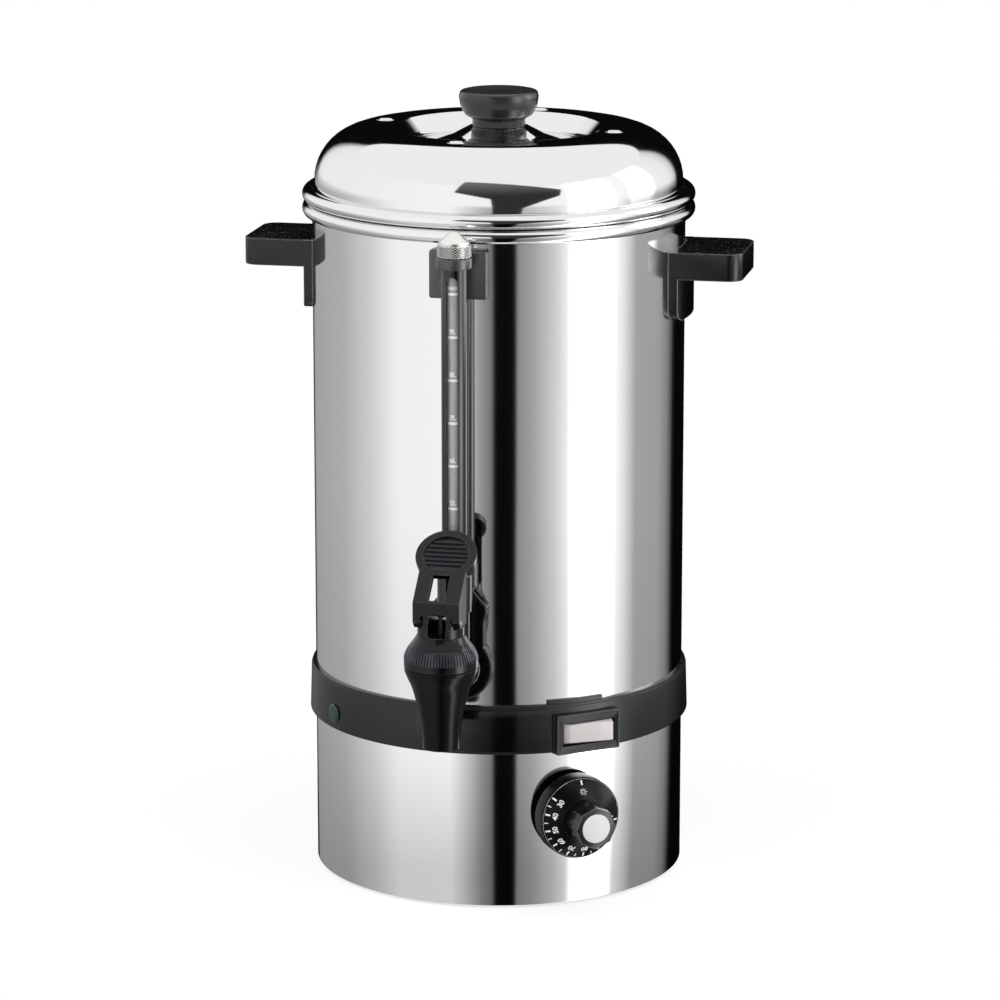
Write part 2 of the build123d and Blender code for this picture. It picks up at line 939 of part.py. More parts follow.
def handle(side):
    """A moulded handle: a flat grip on a curved plate that hugs the tank."""
    inner = tank_radius + seat
    low = handle_top - handle_plate
    plate_mid = handle_top - handle_plate / 2
    slab = Plane.XY.offset(handle_top - handle_grip) * Pos(0, -(tank_radius + handle_reach) / 2)
    grip = extrude(slab * Rectangle(handle_width, tank_radius + handle_reach), handle_grip)
    outer = grip.edges().filter_by(Axis.Z).group_by(Axis.Y)[0]
    grip = fillet(outer, handle_corner)
    top_and_bottom = grip.edges().group_by(Axis.Z)[-1] + grip.edges().group_by(Axis.Z)[0]
    grip = chamfer(top_and_bottom, handle_edge)
    plate = Plane.XZ * Pos(0, plate_mid) * Rectangle(handle_width, handle_plate)
    plate = extrude(plate, tank_radius + handle_reach)
    plate = fillet(plate.edges().filter_by(Axis.Y).group_by(Axis.Z)[0], handle_plate_corner)
    plate &= upright(tank_radius + handle_plate_thick, low, handle_top)
    body = grip + plate - upright(inner, 0, rim_z * 2)
    for x in (-1, 1):
        body -= outward(
            handle_screw_radius + seat,
            tank_radius - handle_plate_thick,
            tank_radius + handle_screw_depth,
            x * handle_screw_spacing / 2,
            handle_screw_z,
        )
    return Rot(0, 0, side) * body


def handle_screws():
    reach = handle_screw_spacing / 2 + handle_screw_head
    under = sqrt(tank_inner**2 - reach**2) - seat
    tip = tank_radius + handle_screw_depth - 1
    shanks = handle_screw_rods(handle_screw_radius, under, tip)
    heads = handle_screw_rods(handle_screw_head, under - handle_screw_head_height, under)
    return [shank + head for shank, head in zip(shanks, heads)]


# ---- Lid


def lid_shell():
    """One drawn sheet: wired rim, plug wall, round shoulder, flat crest, dish and centre boss."""
    plug_outer = tank_inner - lid_plug_gap
    bead_z = lid_z + lid_bead_height / 2
    path = FilletPolyline(
        (0, crest_z),
        (boss_radius, crest_z),
        (boss_foot, crest_z - boss_drop),
        (lid_dish_floor, crest_z - lid_dish_depth),
        (lid_dish_radius, crest_z),
        (plug_outer, crest_z),
        (plug_outer, lid_z - lid_plug_drop),
        radius=[2.5, 9, 7, 2.5, lid_shoulder],
    )
    sheet = make_face(offset(path, amount=lid_sheet, side=Side.RIGHT))
    hem = Pos(plug_outer - lid_sheet, lid_z - lid_plug_drop / 2 + lid_bead_height / 4) * Rectangle(
        2 * lid_sheet, lid_plug_drop + lid_bead_height / 2
    )
    bead_in = plug_outer - lid_sheet
    bead_half = (tank_radius + bead_reach - bead_in) / 2
    bead = Pos(bead_in + bead_half, bead_z) * Ellipse(bead_half, lid_bead_height / 2)
    shell = revolve(Plane.XZ * (sheet + hem + bead), Axis.Z)
    vent = turned(
        (vent_flare, crest_z),
        (vent_flare - 1.4, crest_z - 0.5),
        (vent_bore, crest_z - vent_depth * 0.6),
        (vent_bore, crest_z - vent_depth),
        (vent_bore + lid_sheet, crest_z - vent_depth),
        (vent_bore + lid_sheet, crest_z - vent_depth * 0.75),
        (vent_flare, crest_z - lid_sheet - 0.4),
    )
    for i in range(vent_count):
        place = Rot(0, 0, vent_start + 360 / vent_count * i) * Pos(0, -vent_ring, 0)
        shell -= place * upright(vent_flare - 0.1, crest_z - 4, crest_z + 1)
        shell += place * vent
    return shell - upright(knob_screw_radius + seat, crest_z - 5, crest_z + 5)


def lid_knob():
    """A round knob: short neck, bowl that widens upwards, rolled rim and a shallow dished top."""
    top = knob_z + knob_height
    neck_z = knob_z + knob_neck_height
    rim_low = top - 4.2
    edge = knob_radius - 3
    outline = Polyline(
        (0, top - knob_dish), (0, knob_z), (knob_neck, knob_z), (knob_neck, neck_z)
    )
    bowl = ThreePointArc(
        (knob_neck, neck_z),
        (knob_neck + 5.2, neck_z + 4.9),
        (knob_radius, rim_low),
    )
    rim = ThreePointArc((knob_radius, rim_low), (knob_radius - 0.6, top - 1.4), (edge, top))
    # the dish is part of a ball whose centre is on the axis
    ball = (edge**2 + knob_dish**2) / (2 * knob_dish)
    half_turn = asin(edge / ball) / 2
    middle = (ball * sin(half_turn), top - knob_dish + ball * (1 - cos(half_turn)))
    dish = ThreePointArc((edge, top), middle, (0, top - knob_dish))
    knob = revolve(Plane.XZ * make_face(outline + bowl + rim + dish), Axis.Z)
    knob = fillet(knob.edges().group_by(Axis.Z)[0], 0.8)
    return knob - upright(insert_radius + seat, knob_z - 1, knob_z + insert_height + seat)


def knob_insert():
    insert = upright(insert_radius, knob_z, knob_z + insert_height)
    return insert - upright(knob_screw_radius + seat, knob_z - 1, knob_z + insert_height - 1)


def knob_screw():
    head_top = crest_z - lid_sheet - knob_washer_thick - 2 * seat
    return turned(
        (0, head_top - 3),
        (4.6, head_top - 3),
        (4.6, head_top),
        (knob_screw_radius, head_top),
        (knob_screw_radius, knob_z + insert_height - 2),
        (0, knob_z + insert_height - 2),
        rounds=[0, 1.2, 0, 0, 0.5, 0],
    )


def knob_washer():
    top = crest_z - lid_sheet - seat
    washer = upright(knob_washer_radius, top - knob_washer_thick, top)
    return washer - upright(knob_screw_radius + seat, top - 5, top + 1)


# ---- Sight gauge


def gauge_low():
    """The bottom of the sight tube, in its socket."""
    return column_top - 20


def guard_low():
    return column_top - 5


def guard_high():
    return collar_top - collar_height + 3


def gauge_base():
    """The lower gauge fitting: a saddle clamped by the tap, with the tube's socket above."""
    half = wing_width / 2
    wings = Polyline(
        (-half + 1.5, tap_z),
        (half - 1.5, tap_z),
        (half - 1.5, tap_z + wing_low - 5),
        (half, tap_z + wing_low),
        (half, tap_z + wing_high),
        (half / 2, tap_z + wing_top),
        (-half / 2, tap_z + wing_top),
        (-half, tap_z + wing_high),
        (-half, tap_z + wing_low),
        (-half + 1.5, tap_z + wing_low - 5),
        close=True,
    )
    saddle = extrude(Plane.XZ * make_face(wings), tank_radius + flange_thick)
    saddle = fillet(saddle.edges().group_by(Axis.Y)[0], 1.5)
    disc = outward(flange_radius, 0, tank_radius + flange_thick, z=tap_z)
    disc = fillet(disc.edges().group_by(Axis.Y)[0], 1.2)
    banjo = outward(banjo_radius, tank_radius, tank_radius + banjo_depth, z=tap_z)
    column = upright(column_radius, tap_z, column_top, out=gauge_out)
    column = fillet(column.edges().group_by(Axis.Z)[-1], 0.8)
    web = Plane.XY.offset(tap_z) * Pos(0, -(tank_radius + gauge_out) / 2)
    web = extrude(web * Rectangle(column_radius * 1.4, gauge_out - tank_radius), column_rise - 1)
    body = saddle + disc + banjo + column + web
    body -= upright(tank_radius + seat, 0, rim_z)
    body -= outward(shank_radius + seat, 0, gauge_out * 2, z=tap_z)
    body -= upright(feed_radius, tap_z, column_top, out=gauge_out)
    body -= upright(tube_radius + seat, gauge_low() - seat, column_top + 1, out=gauge_out)
    body -= upright(guard_radius + seat, guard_low() - 2.5, column_top + 1, out=gauge_out)
    return body


def gauge_lower_seal():
    low = guard_low() - 2.5 + seat
    ring = upright(guard_radius, low, guard_low() - seat, out=gauge_out)
    return ring - upright(tube_radius + seat, low - 1, guard_low() + 1, out=gauge_out)


def sight_tube():
    high = spigot_top - 0.5
    tube = upright(tube_radius, gauge_low(), high, out=gauge_out)
    return tube - upright(tube_radius - tube_wall, gauge_low() - 1, high + 1, out=gauge_out)


def gauge_guard():
    """A tube with one long slot in front, round at its upper end, for reading the level."""
    low = guard_low()
    high = guard_high()
    guard = upright(guard_radius, low, high, out=gauge_out)
    guard -= upright(guard_radius - guard_wall, low - 1, high + 1, out=gauge_out)
    slot_low = column_top + 2
    slot_high = collar_top - guard_slot_drop
    middle = (slot_low + slot_high) / 2
    slot = Plane.XZ.offset(gauge_out) * Pos(0, middle) * Rot(0, 0, 90)
    slot *= SlotOverall(slot_high - slot_low, guard_slot)
    return guard - extrude(slot, guard_radius + 5)


def gauge_bracket():
    """The upper gauge bracket: two wings on the tank and a round collar that the nut clamps."""
    low = bracket_top - bracket_height
    middle = bracket_top - bracket_height / 2
    thick = tank_radius + bracket_thick
    saddle = Plane.XZ * Pos(0, middle) * RectangleRounded(bracket_width, bracket_height, 1.5)
    saddle = extrude(saddle, thick)
    saddle = fillet(saddle.edges().group_by(Axis.Y)[0], 1.8)
    groove_high = collar_top - collar_height
    saddle -= upright(guard_radius + moving, low - 1, groove_high, out=gauge_out)
    saddle -= upright(nut_radius + moving, collar_top, rim_z, out=gauge_out)
    collar = upright(collar_radius, groove_high, collar_top, out=gauge_out)
    collar = fillet(collar.edges(), 0.8)
    web = Plane.XY.offset(groove_high + 0.8) * Pos(0, -(tank_radius + gauge_out) / 2)
    web = extrude(web * Rectangle(collar_radius * 1.6, gauge_out - tank_radius), collar_height - 1.6)
    spigot = upright(spigot_radius, groove_high + 1, spigot_top, out=gauge_out)
    body = saddle + collar + web + spigot
    body -= upright(tank_radius + seat, 0, rim_z * 2)
    body -= upright(tube_radius + seat, groove_high - 1, spigot_top + 1, out=gauge_out)
    body -= upright(guard_radius + seat, groove_high - 1, guard_high() + seat, out=gauge_out)
    for rod in bracket_screw_rods(screw_radius + seat, tank_radius - bracket_thick, thick - 1.6):
        body -= rod
    return body


def bracket_screws():
    reach = bracket_screw_spacing / 2 + screw_head_radius
    under = sqrt(tank_inner**2 - reach**2) - seat
    shanks = bracket_screw_rods(screw_radius, under, tank_radius + bracket_thick - 2.2)
    heads = bracket_screw_rods(screw_head_radius, under - screw_head_height, under)
    return [shank + head for shank, head in zip(shanks, heads)]


def gauge_cap_nut():
    """A knurled cap nut with a neck groove and a blunt cone, vented at its tip."""
    low = collar_top + seat
    knurl = low + nut_knurl_height
    cone = knurl + nut_groove
    body = toothed(nut_radius, nut_tooth, nut_teeth, low, knurl)
    body = body & turned(
        (0, low),
        (nut_radius + 0.1, low),
        (nut_radius + 0.1, knurl),
        (0, knurl),
        rounds=[0, 0.7, 0.7, 0],
    )
    body += upright(nut_radius - 1.6, low, cone)
    body += turned(
        (0, cone),
        (nut_cone_base, cone),
        (nut_cone_base, cone + 0.8),
        (nut_cone_tip, cone + nut_cone_height),
        (0, cone + nut_cone_height),
        rounds=[0, 0, 0.5, 0.8, 0],
    )
    body -= upright(spigot_radius + seat, low - 1, spigot_top + 2.2)
    body -= upright(nut_vent, low, cone + nut_cone_height + 1)
    return Pos(0, -gauge_out, 0) * body


def gauge_top_seal():
    low = spigot_top + seat
    ring = upright(spigot_radius - seat, low, spigot_top + 2.1, out=gauge_out)
    return ring - upright(tube_radius - tube_wall, low - 1, low + 5, out=gauge_out)


# ---- Tap


def spout_outline(extra=0.0):
    """The outside of the tap's body, from the outlet up to the lip under the bonnet."""
    low = tap_z - outlet_drop
    high = tap_z + body_lip_rise
    side = Spline(
        (outlet_radius + extra, low),
        (outlet_radius + 1.2 + extra, low + 13),
        (outlet_radius + 5.4 + extra, low + 32.5),
        (body_lip_radius + extra, high),
        tangents=[(0.03, 1), (0.5, 1)],
    )
    return side, low, high


def tap_body():
    """One moulding: a flaring spout with an inner valve seat, and the shank through the wall."""
    side, low, high = spout_outline()
    lip_top = high + body_lip_height
    rest = Polyline(
        (body_lip_radius, high),
        (body_lip_radius, lip_top),
        (body_thread, lip_top),
        (body_thread, body_top),
        (chamber_radius, body_top),
        (chamber_radius, seat_z),
        (outlet_bore, seat_z),
        (outlet_bore, low),
        (outlet_radius, low),
    )
    spout = revolve(Plane.XZ * make_face(side + rest), Axis.Z)
    outer, _, _ = spout_outline(rib_proud)
    inner, _, _ = spout_outline(-rib_proud)
    foot = Line((outlet_radius - rib_proud, low), (outlet_radius + rib_proud, low))
    head = Line((body_lip_radius - rib_proud, high), (body_lip_radius + rib_proud, high))
    skin = revolve(Plane.XZ * make_face(outer + head + inner + foot), Axis.Z)
    arch_high = tap_z - rib_top_drop
    arch = Plane.XZ * Pos(0, (low + arch_high - rib_width) / 2) * Rot(0, 0, 90)
    arch *= SlotOverall(arch_high - low + rib_width, rib_width)
    spout += extrude(arch, body_lip_radius * 2) & skin
    spout = Pos(0, -spout_out, 0) * spout
    shoulder = tank_radius + banjo_depth + seat
    shank = outward(shank_radius, tank_radius - shank_inside, spout_out, z=tap_z)
    shank += outward(shank_collar, shoulder, spout_out, z=tap_z)
    shank -= upright(chamber_radius + 1, seat_z - 9, body_top, out=spout_out)
    body = spout + shank
    body -= outward(shank_bore, tank_radius - shank_inside - 1, spout_out, z=tap_z)
    body -= upright(outlet_bore, low - 1, seat_z, out=spout_out)
    return body - upright(feed_radius, tap_z, tap_z + shank_radius + 1, out=gauge_out)


def tap_gasket():
    """A silicone washer, pressed to the tank's curve by the nut."""
    back = tank_inner - 1 - gasket_thick
    ring = outward(gasket_radius, back, tank_radius, z=tap_z) & upright(tank_inner - seat, 0, rim_z)
    return ring - outward(shank_radius + seat, back - 1, tank_radius, z=tap_z)


def tap_nut():
    end = tank_inner - 1 - gasket_thick - seat
    nut = hexagon(tap_nut_flats, end - tap_nut_thick, end, tap_z)
    return nut - outward(shank_radius + seat, end - 2 * tap_nut_thick, end + 1, z=tap_z)


def bonnet_dome(extra=0.0):
    """The bonnet's outside: a short cylinder that rounds over into the yoke."""
    shoulder = tap_z + bonnet_knurl_rise
    top = tap_z + bonnet_top_rise
    r = bonnet_radius + extra
    neck = yoke_radius + 0.35
    outline = Polyline((0, top), (0, bonnet_low), (r, bonnet_low), (r, shoulder))
    curve = ThreePointArc((r, shoulder), (r - 2.9, shoulder + 7.7), (neck, top))
    return revolve(Plane.XZ * make_face(outline + curve + Polyline((neck, top), (0, top))), Axis.Z)


def bonnet_ring():
    """The knurled ring that screws down over the yoke's flange."""
    ring = bonnet_dome()
    low = tap_z + bonnet_knurl_rise - 0.3
    high = low + bonnet_knurl_height
    smooth = ring - upright(bonnet_radius + 2, low, high)
    ribbed = ring & toothed(bonnet_radius, bonnet_tooth, bonnet_teeth, low, high)
    ring = smooth + ribbed
    ring -= upright(body_thread + 2 * seat, bonnet_low - 1, body_top + seat)
    ring -= upright(yoke_flange + 2 * seat, bonnet_low - 1, yoke_flange_top + seat)
    ring -= upright(yoke_radius + 2 * seat, bonnet_low - 1, high + bonnet_radius)
    return Pos(0, -spout_out, 0) * ring


def tap_yoke():
    """The bonnet insert: guides the stem and carries the lever between two cheeks."""
    low = body_top + seat
    top = tap_z + yoke_rise
    round_top = tap_z + yoke_round_rise
    slot_low = tap_z + yoke_slot_rise
    body = upright(yoke_flange, low, yoke_flange_top) + upright(yoke_radius, low, round_top)
    cheeks = upright(yoke_radius, round_top, top)
    front = spout_out + yoke_front
    box = Plane.XY.offset(round_top) * Pos(0, -yoke_front / 2 + 10)
    cheeks = Pos(0, 0, 0) * cheeks & extrude(
        box * Rectangle(2 * yoke_cheek, yoke_front + 20), top - round_top
    )
    body = Pos(0, -spout_out, 0) * (body + cheeks)
    slot_back = spout_out - yoke_slot_back
    slot = Plane.XY.offset(slot_low) * Pos(0, -(slot_back + front + 5) / 2)
    body -= extrude(slot * Rectangle(2 * yoke_slot, front + 5 - slot_back), top)
    pin_slot = Plane.XY.offset(pivot_z - pivot_pin_radius - moving) * Pos(0, -spout_out)
    width = 2 * (pivot_pin_radius + moving)
    body -= extrude(pin_slot * Rectangle(4 * yoke_cheek, width), top)
    body -= sideways(pivot_pin_radius + running, -yoke_radius, yoke_radius, pivot_out, pivot_z)
    return body - upright(stem_radius + running, low - 1, top + 1, out=spout_out)


def tap_lever():
    """The pull lever: apron, two cheeks, a sloping arm with a window and a ridged thumb disc."""
    half = lever_width / 2
    front = spout_out + yoke_front + moving + lever_apron_thick
    fold_z = tap_z + lever_fold_rise
    low = tap_z + lever_apron_low
    slope = radians(lever_arm_rise_angle)
    back_way = (cos(slope), sin(slope))
    normal = (sin(slope), -cos(slope))
    cheek_back = pivot_out - lever_cheek_back
    cheek_low = tap_z + lever_cheek_low
    along = (front - cheek_back) / back_way[0]
    # side view: first number is the distance out, second the height
    side = [
        (pivot_out + 1.2, cheek_low),
        (front - 1.2, low - 1.6),
        (front, low),
        (front, fold_z),
        (cheek_back, fold_z + along * back_way[1]),
        (cheek_back, cheek_low),
    ]
    plate = make_face(Polyline(*[(-out, z) for out, z in side], close=True))
    block = extrude(Plane.YZ.offset(-half) * plate, lever_width)
    inner = yoke_cheek + moving
    room_front = front - lever_apron_thick
    under = lever_arm_thick / cos(slope)
    room_fold = fold_z - under + lever_apron_thick * tan(slope)
    room = [
        (room_front, cheek_low - 20),
        (room_front, room_fold),
        (cheek_back - 9, room_fold + (room_front - cheek_back + 9) * tan(slope)),
        (cheek_back - 9, cheek_low - 20),
    ]
    room = make_face(Polyline(*[(-out, z) for out, z in room], close=True))
    block -= extrude(Plane.YZ.offset(-inner) * room, 2 * inner)
    # the arched lower edge of the apron
    chord = half
    radius = (chord**2 + lever_arch_rise**2) / (2 * lever_arch_rise)
    arch = Plane.XZ.offset(room_front - 0.1) * Pos(0, low + lever_arch_rise - radius) * Circle(radius)
    arch = extrude(arch, lever_apron_thick + 1)
    below = Plane.XZ.offset(room_front - 0.1) * Pos(0, low - 20 + lever_arch_rise) * Rectangle(2 * inner, 40)
    block -= arch & extrude(below, lever_apron_thick + 1)
    # arm and disc, drawn flat and then laid on the slope
    arm = Pos(0, lever_arm_length / 2, 0) * Rectangle(lever_width, lever_arm_length)
    disc = Pos(0, lever_arm_length, 0) * Circle(thumb_radius)
    flat = extrude(arm, -lever_arm_thick) + extrude(disc, -lever_arm_thick)
    flat -= extrude(
        Pos(0, (window_from + window_to) / 2, 1) * Rectangle(window_width, window_to - window_from), -9
    )
    dish = Pos(0, lever_arm_length, 0) * Circle(thumb_dish)
    flat -= extrude(dish, -thumb_dish_depth)
    first = lever_arm_length - (thumb_ridges - 1) / 2 * thumb_ridge_pitch
    ridge_disc = extrude(
        Pos(0, lever_arm_length, -thumb_dish_depth) * Circle(thumb_dish - 1.2), thumb_ridge_height
    )
    for i in range(thumb_ridges):
        bar = Rectangle(2 * thumb_radius, thumb_ridge_width)
        place = Pos(0, first + i * thumb_ridge_pitch, -thumb_dish_depth)
        flat += extrude(place * bar, thumb_ridge_height) & ridge_disc
    on_slope = Plane(origin=(0, -front, fold_z), x_dir=(1, 0, 0), z_dir=(0, -normal[0], -normal[1]))
    window = extrude(
        Pos(0, (window_from + window_to) / 2, 1) * Rectangle(window_width, window_to - window_from), -9
    )
    body = block + on_slope.location * flat - on_slope.location * window
    body -= sideways(pivot_pin_radius + seat / 2, -half - 1, half + 1, pivot_out, pivot_z)
    # blind slots for the lift pin, on the line through the pivot
    far = lever_pivot_out / cos(radians(lever_open)) + pivot_pin_radius + lift_slot_slack
    near = lever_pivot_out - pivot_pin_radius - lift_slot_slack
    high = 2 * (pivot_pin_radius + lift_slot_slack)
    groove = Plane.YZ.offset(-lift_pin_length / 2 - moving)
    groove *= Pos(-(pivot_out - (near + far) / 2), pivot_z) * Rectangle(far - near, high)
    return body - extrude(groove, lift_pin_length + 2 * moving)


def lever_pins():
    half = lever_width / 2
    right = sideways(pivot_pin_radius, yoke_slot + 0.3, half - seat, pivot_out, pivot_z)
    left = sideways(pivot_pin_radius, seat - half, -yoke_slot - 0.3, pivot_out, pivot_z)
    return [left, right]


def stem_low():
    return seat_z + 2 * seat + cup_foot


def valve_stem():
    low = stem_low()
    head = tap_z + stem_head_rise
    stem = turned(
        (0, low),
        (stem_barb_radius, low),
        (stem_barb_radius, low + stem_barb_height),
        (stem_radius, low + stem_barb_height),
        (stem_radius, head - 3),
        (stem_head_radius, head - 1),
        (stem_head_radius, head),
        (0, head),
        rounds=[0, 0.8, 0, 0, 0, 0, 0.5, 0],
    )
    stem = Pos(0, -spout_out, 0) * stem
    return stem - sideways(pivot_pin_radius + seat / 2, -9, 9, spout_out, pivot_z)


def lift_pin():
    half = lift_pin_length / 2
    return sideways(pivot_pin_radius, -half, half, spout_out, pivot_z)


def valve_cup():
    """The silicone seat cup on the stem's end, which closes the outlet from above."""
    low = seat_z + 2 * seat
    top = low + cup_height
    cup = turned(
        (0, low),
        (cup_radius - 1.5, low),
        (cup_radius, low + 2),
        (cup_radius - 0.8, top),
        (cup_neck, top),
        (cup_neck - 0.4, top + cup_neck_height),
        (0, top + cup_neck_height),
    )
    cup -= upright(stem_radius + seat / 2, low + cup_foot, top + cup_neck_height + 1)
    barb = stem_low()
    cup -= upright(stem_barb_radius + seat / 2, barb - seat / 2, barb + stem_barb_height + seat / 2)
    return Pos(0, -spout_out, 0) * cup


def tap_spring():
    """The closing spring, between the cup's shoulder and the underside of the yoke."""
    low = seat_z + 2 * seat + cup_height + spring_wire + seat
    high = body_top - spring_wire
    pitch = (high - low) / spring_turns
    path = Helix(pitch, high - low, spring_radius)
    start = path @ 0
    wire = sweep(Plane(origin=start, z_dir=path % 0) * Circle(spring_wire), path=path, is_frenet=True)
    return Pos(0, -spout_out, low) * wire


pieces = {
    "tank_pot": tank_pot(),
    "base_skirt": base_skirt(),
    "base_plate": base_plate(),
    "foot_ring": foot_ring(),
    "base_screws": base_screws(),
    "band_ring": band_ring(),
    "front_plate": front_plate(),
    "switch_housing": switch_housing(),
    "switch_rocker": switch_rocker(),
    "switch_spades": switch_spades(),
    "pilot_lens": lamp_lens(),
    "pilot_lamp": lamp_body(),
    "thermostat_body": thermostat_body(),
    "thermostat_screws": thermostat_screws(),
    "thermostat_spindle": spindle(),
    "thermostat_bulb": thermostat_bulb(),
    "bulb_clip": bulb_clip(),
    "dial_knob": dial_knob(),
    "dial_cap": dial_cap(),
    "heat_spreader": heat_spreader(),
    "heating_element": heating_element(),
    "safety_cutout": safety_cutout(),
    "earth_stud": earth_stud(),
    "earth_nut": earth_nut(),
    "cord_gland": cord_gland(),
    "gland_nut": gland_nut(),
    "terminal_block": terminal_block(),
    "terminal_screws": terminal_screws(),
    "handle_right": handle(90),
    "handle_left": handle(-90),
    "handle_screws": handle_screws(),
    "lid_shell": lid_shell(),
    "lid_knob": lid_knob(),
    "knob_insert": knob_insert(),
    "knob_screw": knob_screw(),
    "knob_washer": knob_washer(),
    "gauge_base": gauge_base(),
    "gauge_lower_seal": gauge_lower_seal(),
    "sight_tube": sight_tube(),
    "gauge_guard": gauge_guard(),
    "gauge_bracket": gauge_bracket(),
    "bracket_screws": bracket_screws(),
    "gauge_cap_nut": gauge_cap_nut(),
    "gauge_top_seal": gauge_top_seal(),
    "tap_body": tap_body(),
    "tap_gasket": tap_gasket(),
    "tap_nut": tap_nut(),
    "bonnet_ring": bonnet_ring(),
    "tap_yoke": tap_yoke(),
    "tap_lever": tap_lever(),
    "lever_pins": lever_pins(),
    "valve_stem": valve_stem(),
    "lift_pin": lift_pin(),
    "valve_cup": valve_cup(),
    "tap_spring": tap_spring(),
}

os.makedirs("parts", exist_ok=True)
for name, piece in pieces.items():
    solids = piece if isinstance(piece, list) else [piece]
    group = Compound(children=[solid for part in solids for solid in part.solids()])
    export_step(group, f"parts/{name}.step")
    print(name, len(group.solids()), round(group.volume))
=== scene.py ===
from math import atan2, cos, pi, radians, sin, tan, tau
import bmesh
import bpy
from mathutils import Matrix, Vector


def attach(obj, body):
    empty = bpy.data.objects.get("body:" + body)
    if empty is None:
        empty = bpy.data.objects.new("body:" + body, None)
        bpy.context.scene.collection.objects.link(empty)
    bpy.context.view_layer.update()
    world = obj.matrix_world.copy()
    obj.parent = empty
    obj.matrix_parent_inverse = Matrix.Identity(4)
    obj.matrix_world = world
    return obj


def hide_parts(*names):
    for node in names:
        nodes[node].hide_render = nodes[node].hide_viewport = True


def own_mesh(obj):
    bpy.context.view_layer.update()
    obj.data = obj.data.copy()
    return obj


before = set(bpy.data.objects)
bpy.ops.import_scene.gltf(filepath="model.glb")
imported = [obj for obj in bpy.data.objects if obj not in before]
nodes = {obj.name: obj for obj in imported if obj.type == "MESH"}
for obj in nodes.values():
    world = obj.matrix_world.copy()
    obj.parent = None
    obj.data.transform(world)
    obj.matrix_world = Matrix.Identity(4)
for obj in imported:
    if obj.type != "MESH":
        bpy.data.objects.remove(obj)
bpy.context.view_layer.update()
scene = bpy.context.scene
mm = 0.001
forwards = Matrix.Rotation(pi / 2, 4, "X")  # lays an upright bar along Y


def hexColor(code):
    # sRGB hex to linear
    parts = [int(code[i : i + 2], 16) / 255 for i in (1, 3, 5)]
    return [p / 12.92 if p <= 0.04045 else ((p + 0.055) / 1.055) ** 2.4 for p in parts] + [1.0]


def join(source, node, key):
    # links a socket, or a node's first output, to a node's input
    node.id_data.links.new(getattr(source, "outputs", [source])[0], node.inputs[key])


def addNode(tree, kind, links=None, inputs=None, **settings):
    # one node, with what feeds it, its values and its settings
    made = tree.nodes.new("ShaderNode" + kind)
    for key, value in settings.items():
        setattr(made, key, value)
    for key, value in (inputs or {}).items():
        made.inputs[key].default_value = value
    for key, source in (links or {}).items():
        join(source, made, key)
    return made


def newMaterial(name, color, roughness, metallic=0.0, **sockets):
    made = bpy.data.materials.new(name)
    made.use_nodes = True
    shader = made.node_tree.nodes["Principled BSDF"]
    sockets.update({"Base Color": hexColor(color), "Roughness": roughness, "Metallic": metallic})
    for key, value in sockets.items():
        shader.inputs[key].default_value = value
    return made, made.node_tree, shader


def rounded(points, segments=6):
    # a profile of (radius, height, fillet) in mm as a chain of points in metres
    chain = []
    last = len(points) - 1
    for i, point in enumerate(points):
        here = Vector(point[:2])
        fillet = point[2] if len(point) > 2 else 0
        if not fillet or i in (0, last):
            chain.append(here)
            continue
        back = (Vector(points[i - 1][:2]) - here).normalized()
        ahead = (Vector(points[i + 1][:2]) - here).normalized()
        half = back.angle(ahead) / 2
        cut = fillet / tan(half)
        middle = here + (back + ahead).normalized() * (fillet / sin(half))
        start = here + back * cut - middle
        end = here + ahead * cut - middle
        turn = start.angle_signed(end)
        steps = max(2, round(segments * abs(turn) / (pi / 2)))
        for k in range(steps + 1):
            a = -turn * k / steps
            x = start.x * cos(a) - start.y * sin(a)
            y = start.x * sin(a) + start.y * cos(a)
            chain.append(middle + Vector((x, y)))
    return [(p.x * mm, p.y * mm) for p in chain]


def splineChain(points, steps=6):
    # a smooth chain through points, by Catmull-Rom
    chain = []
    for i in range(len(points) - 1):
        before = Vector(points[max(i - 1, 0)])
        here = Vector(points[i])
        there = Vector(points[i + 1])
        after = Vector(points[min(i + 2, len(points) - 1)])
        slope = there - before
        bend = 2 * before - 5 * here + 4 * there - after
        twist = 3 * here - before - 3 * there + after
        for step in range(steps):
            x = step / steps
            chain.append(0.5 * (2 * here + slope * x + bend * x * x + twist * x**3))
    chain.append(Vector(points[-1]))
    return [(v.x, v.y) for v in chain]


def finishPiece(bm, name, material, sharp=35):
    # closes a bmesh into an object, smooth but for its sharp edges
    bmesh.ops.remove_doubles(bm, verts=bm.verts, dist=1e-7)
    bmesh.ops.recalc_face_normals(bm, faces=bm.faces)
    mesh = bpy.data.meshes.new(name)
    bm.to_mesh(mesh)
    bm.free()
    mesh.shade_smooth()
    mesh.set_sharp_from_angle(angle=radians(sharp))
    piece = bpy.data.objects.new(name, mesh)
    scene.collection.objects.link(piece)
    piece.data.materials.append(material)
    return piece


def spinChain(bm, chain, steps=96, closed=False, start=0.0, arc=360.0):
    # turns a chain of (radius, height) about Z; the azimuth counts from -Y towards +X
    a = radians(start)
    direction = Vector((sin(a), -cos(a), 0))
    verts = [bm.verts.new(direction * r + Vector((0, 0, z))) for r, z in chain]
    edges = [bm.edges.new(pair) for pair in zip(verts, verts[1:])]
    if closed:
        edges.append(bm.edges.new((verts[-1], verts[0])))
    full = arc >= 360
    capped = closed and not full
    if capped:
        bm.faces.new(verts)
    made = bmesh.ops.spin(
        bm,
        geom=verts + edges,
        cent=(0, 0, 0),
        axis=(0, 0, 1),
        angle=radians(arc),
        steps=steps,
        use_merge=full,
        use_duplicate=False,
    )
    if capped:
        ends = [v for v in made["geom_last"] if isinstance(v, bmesh.types.BMVert)]
        bmesh.ops.contextual_create(bm, geom=ends)


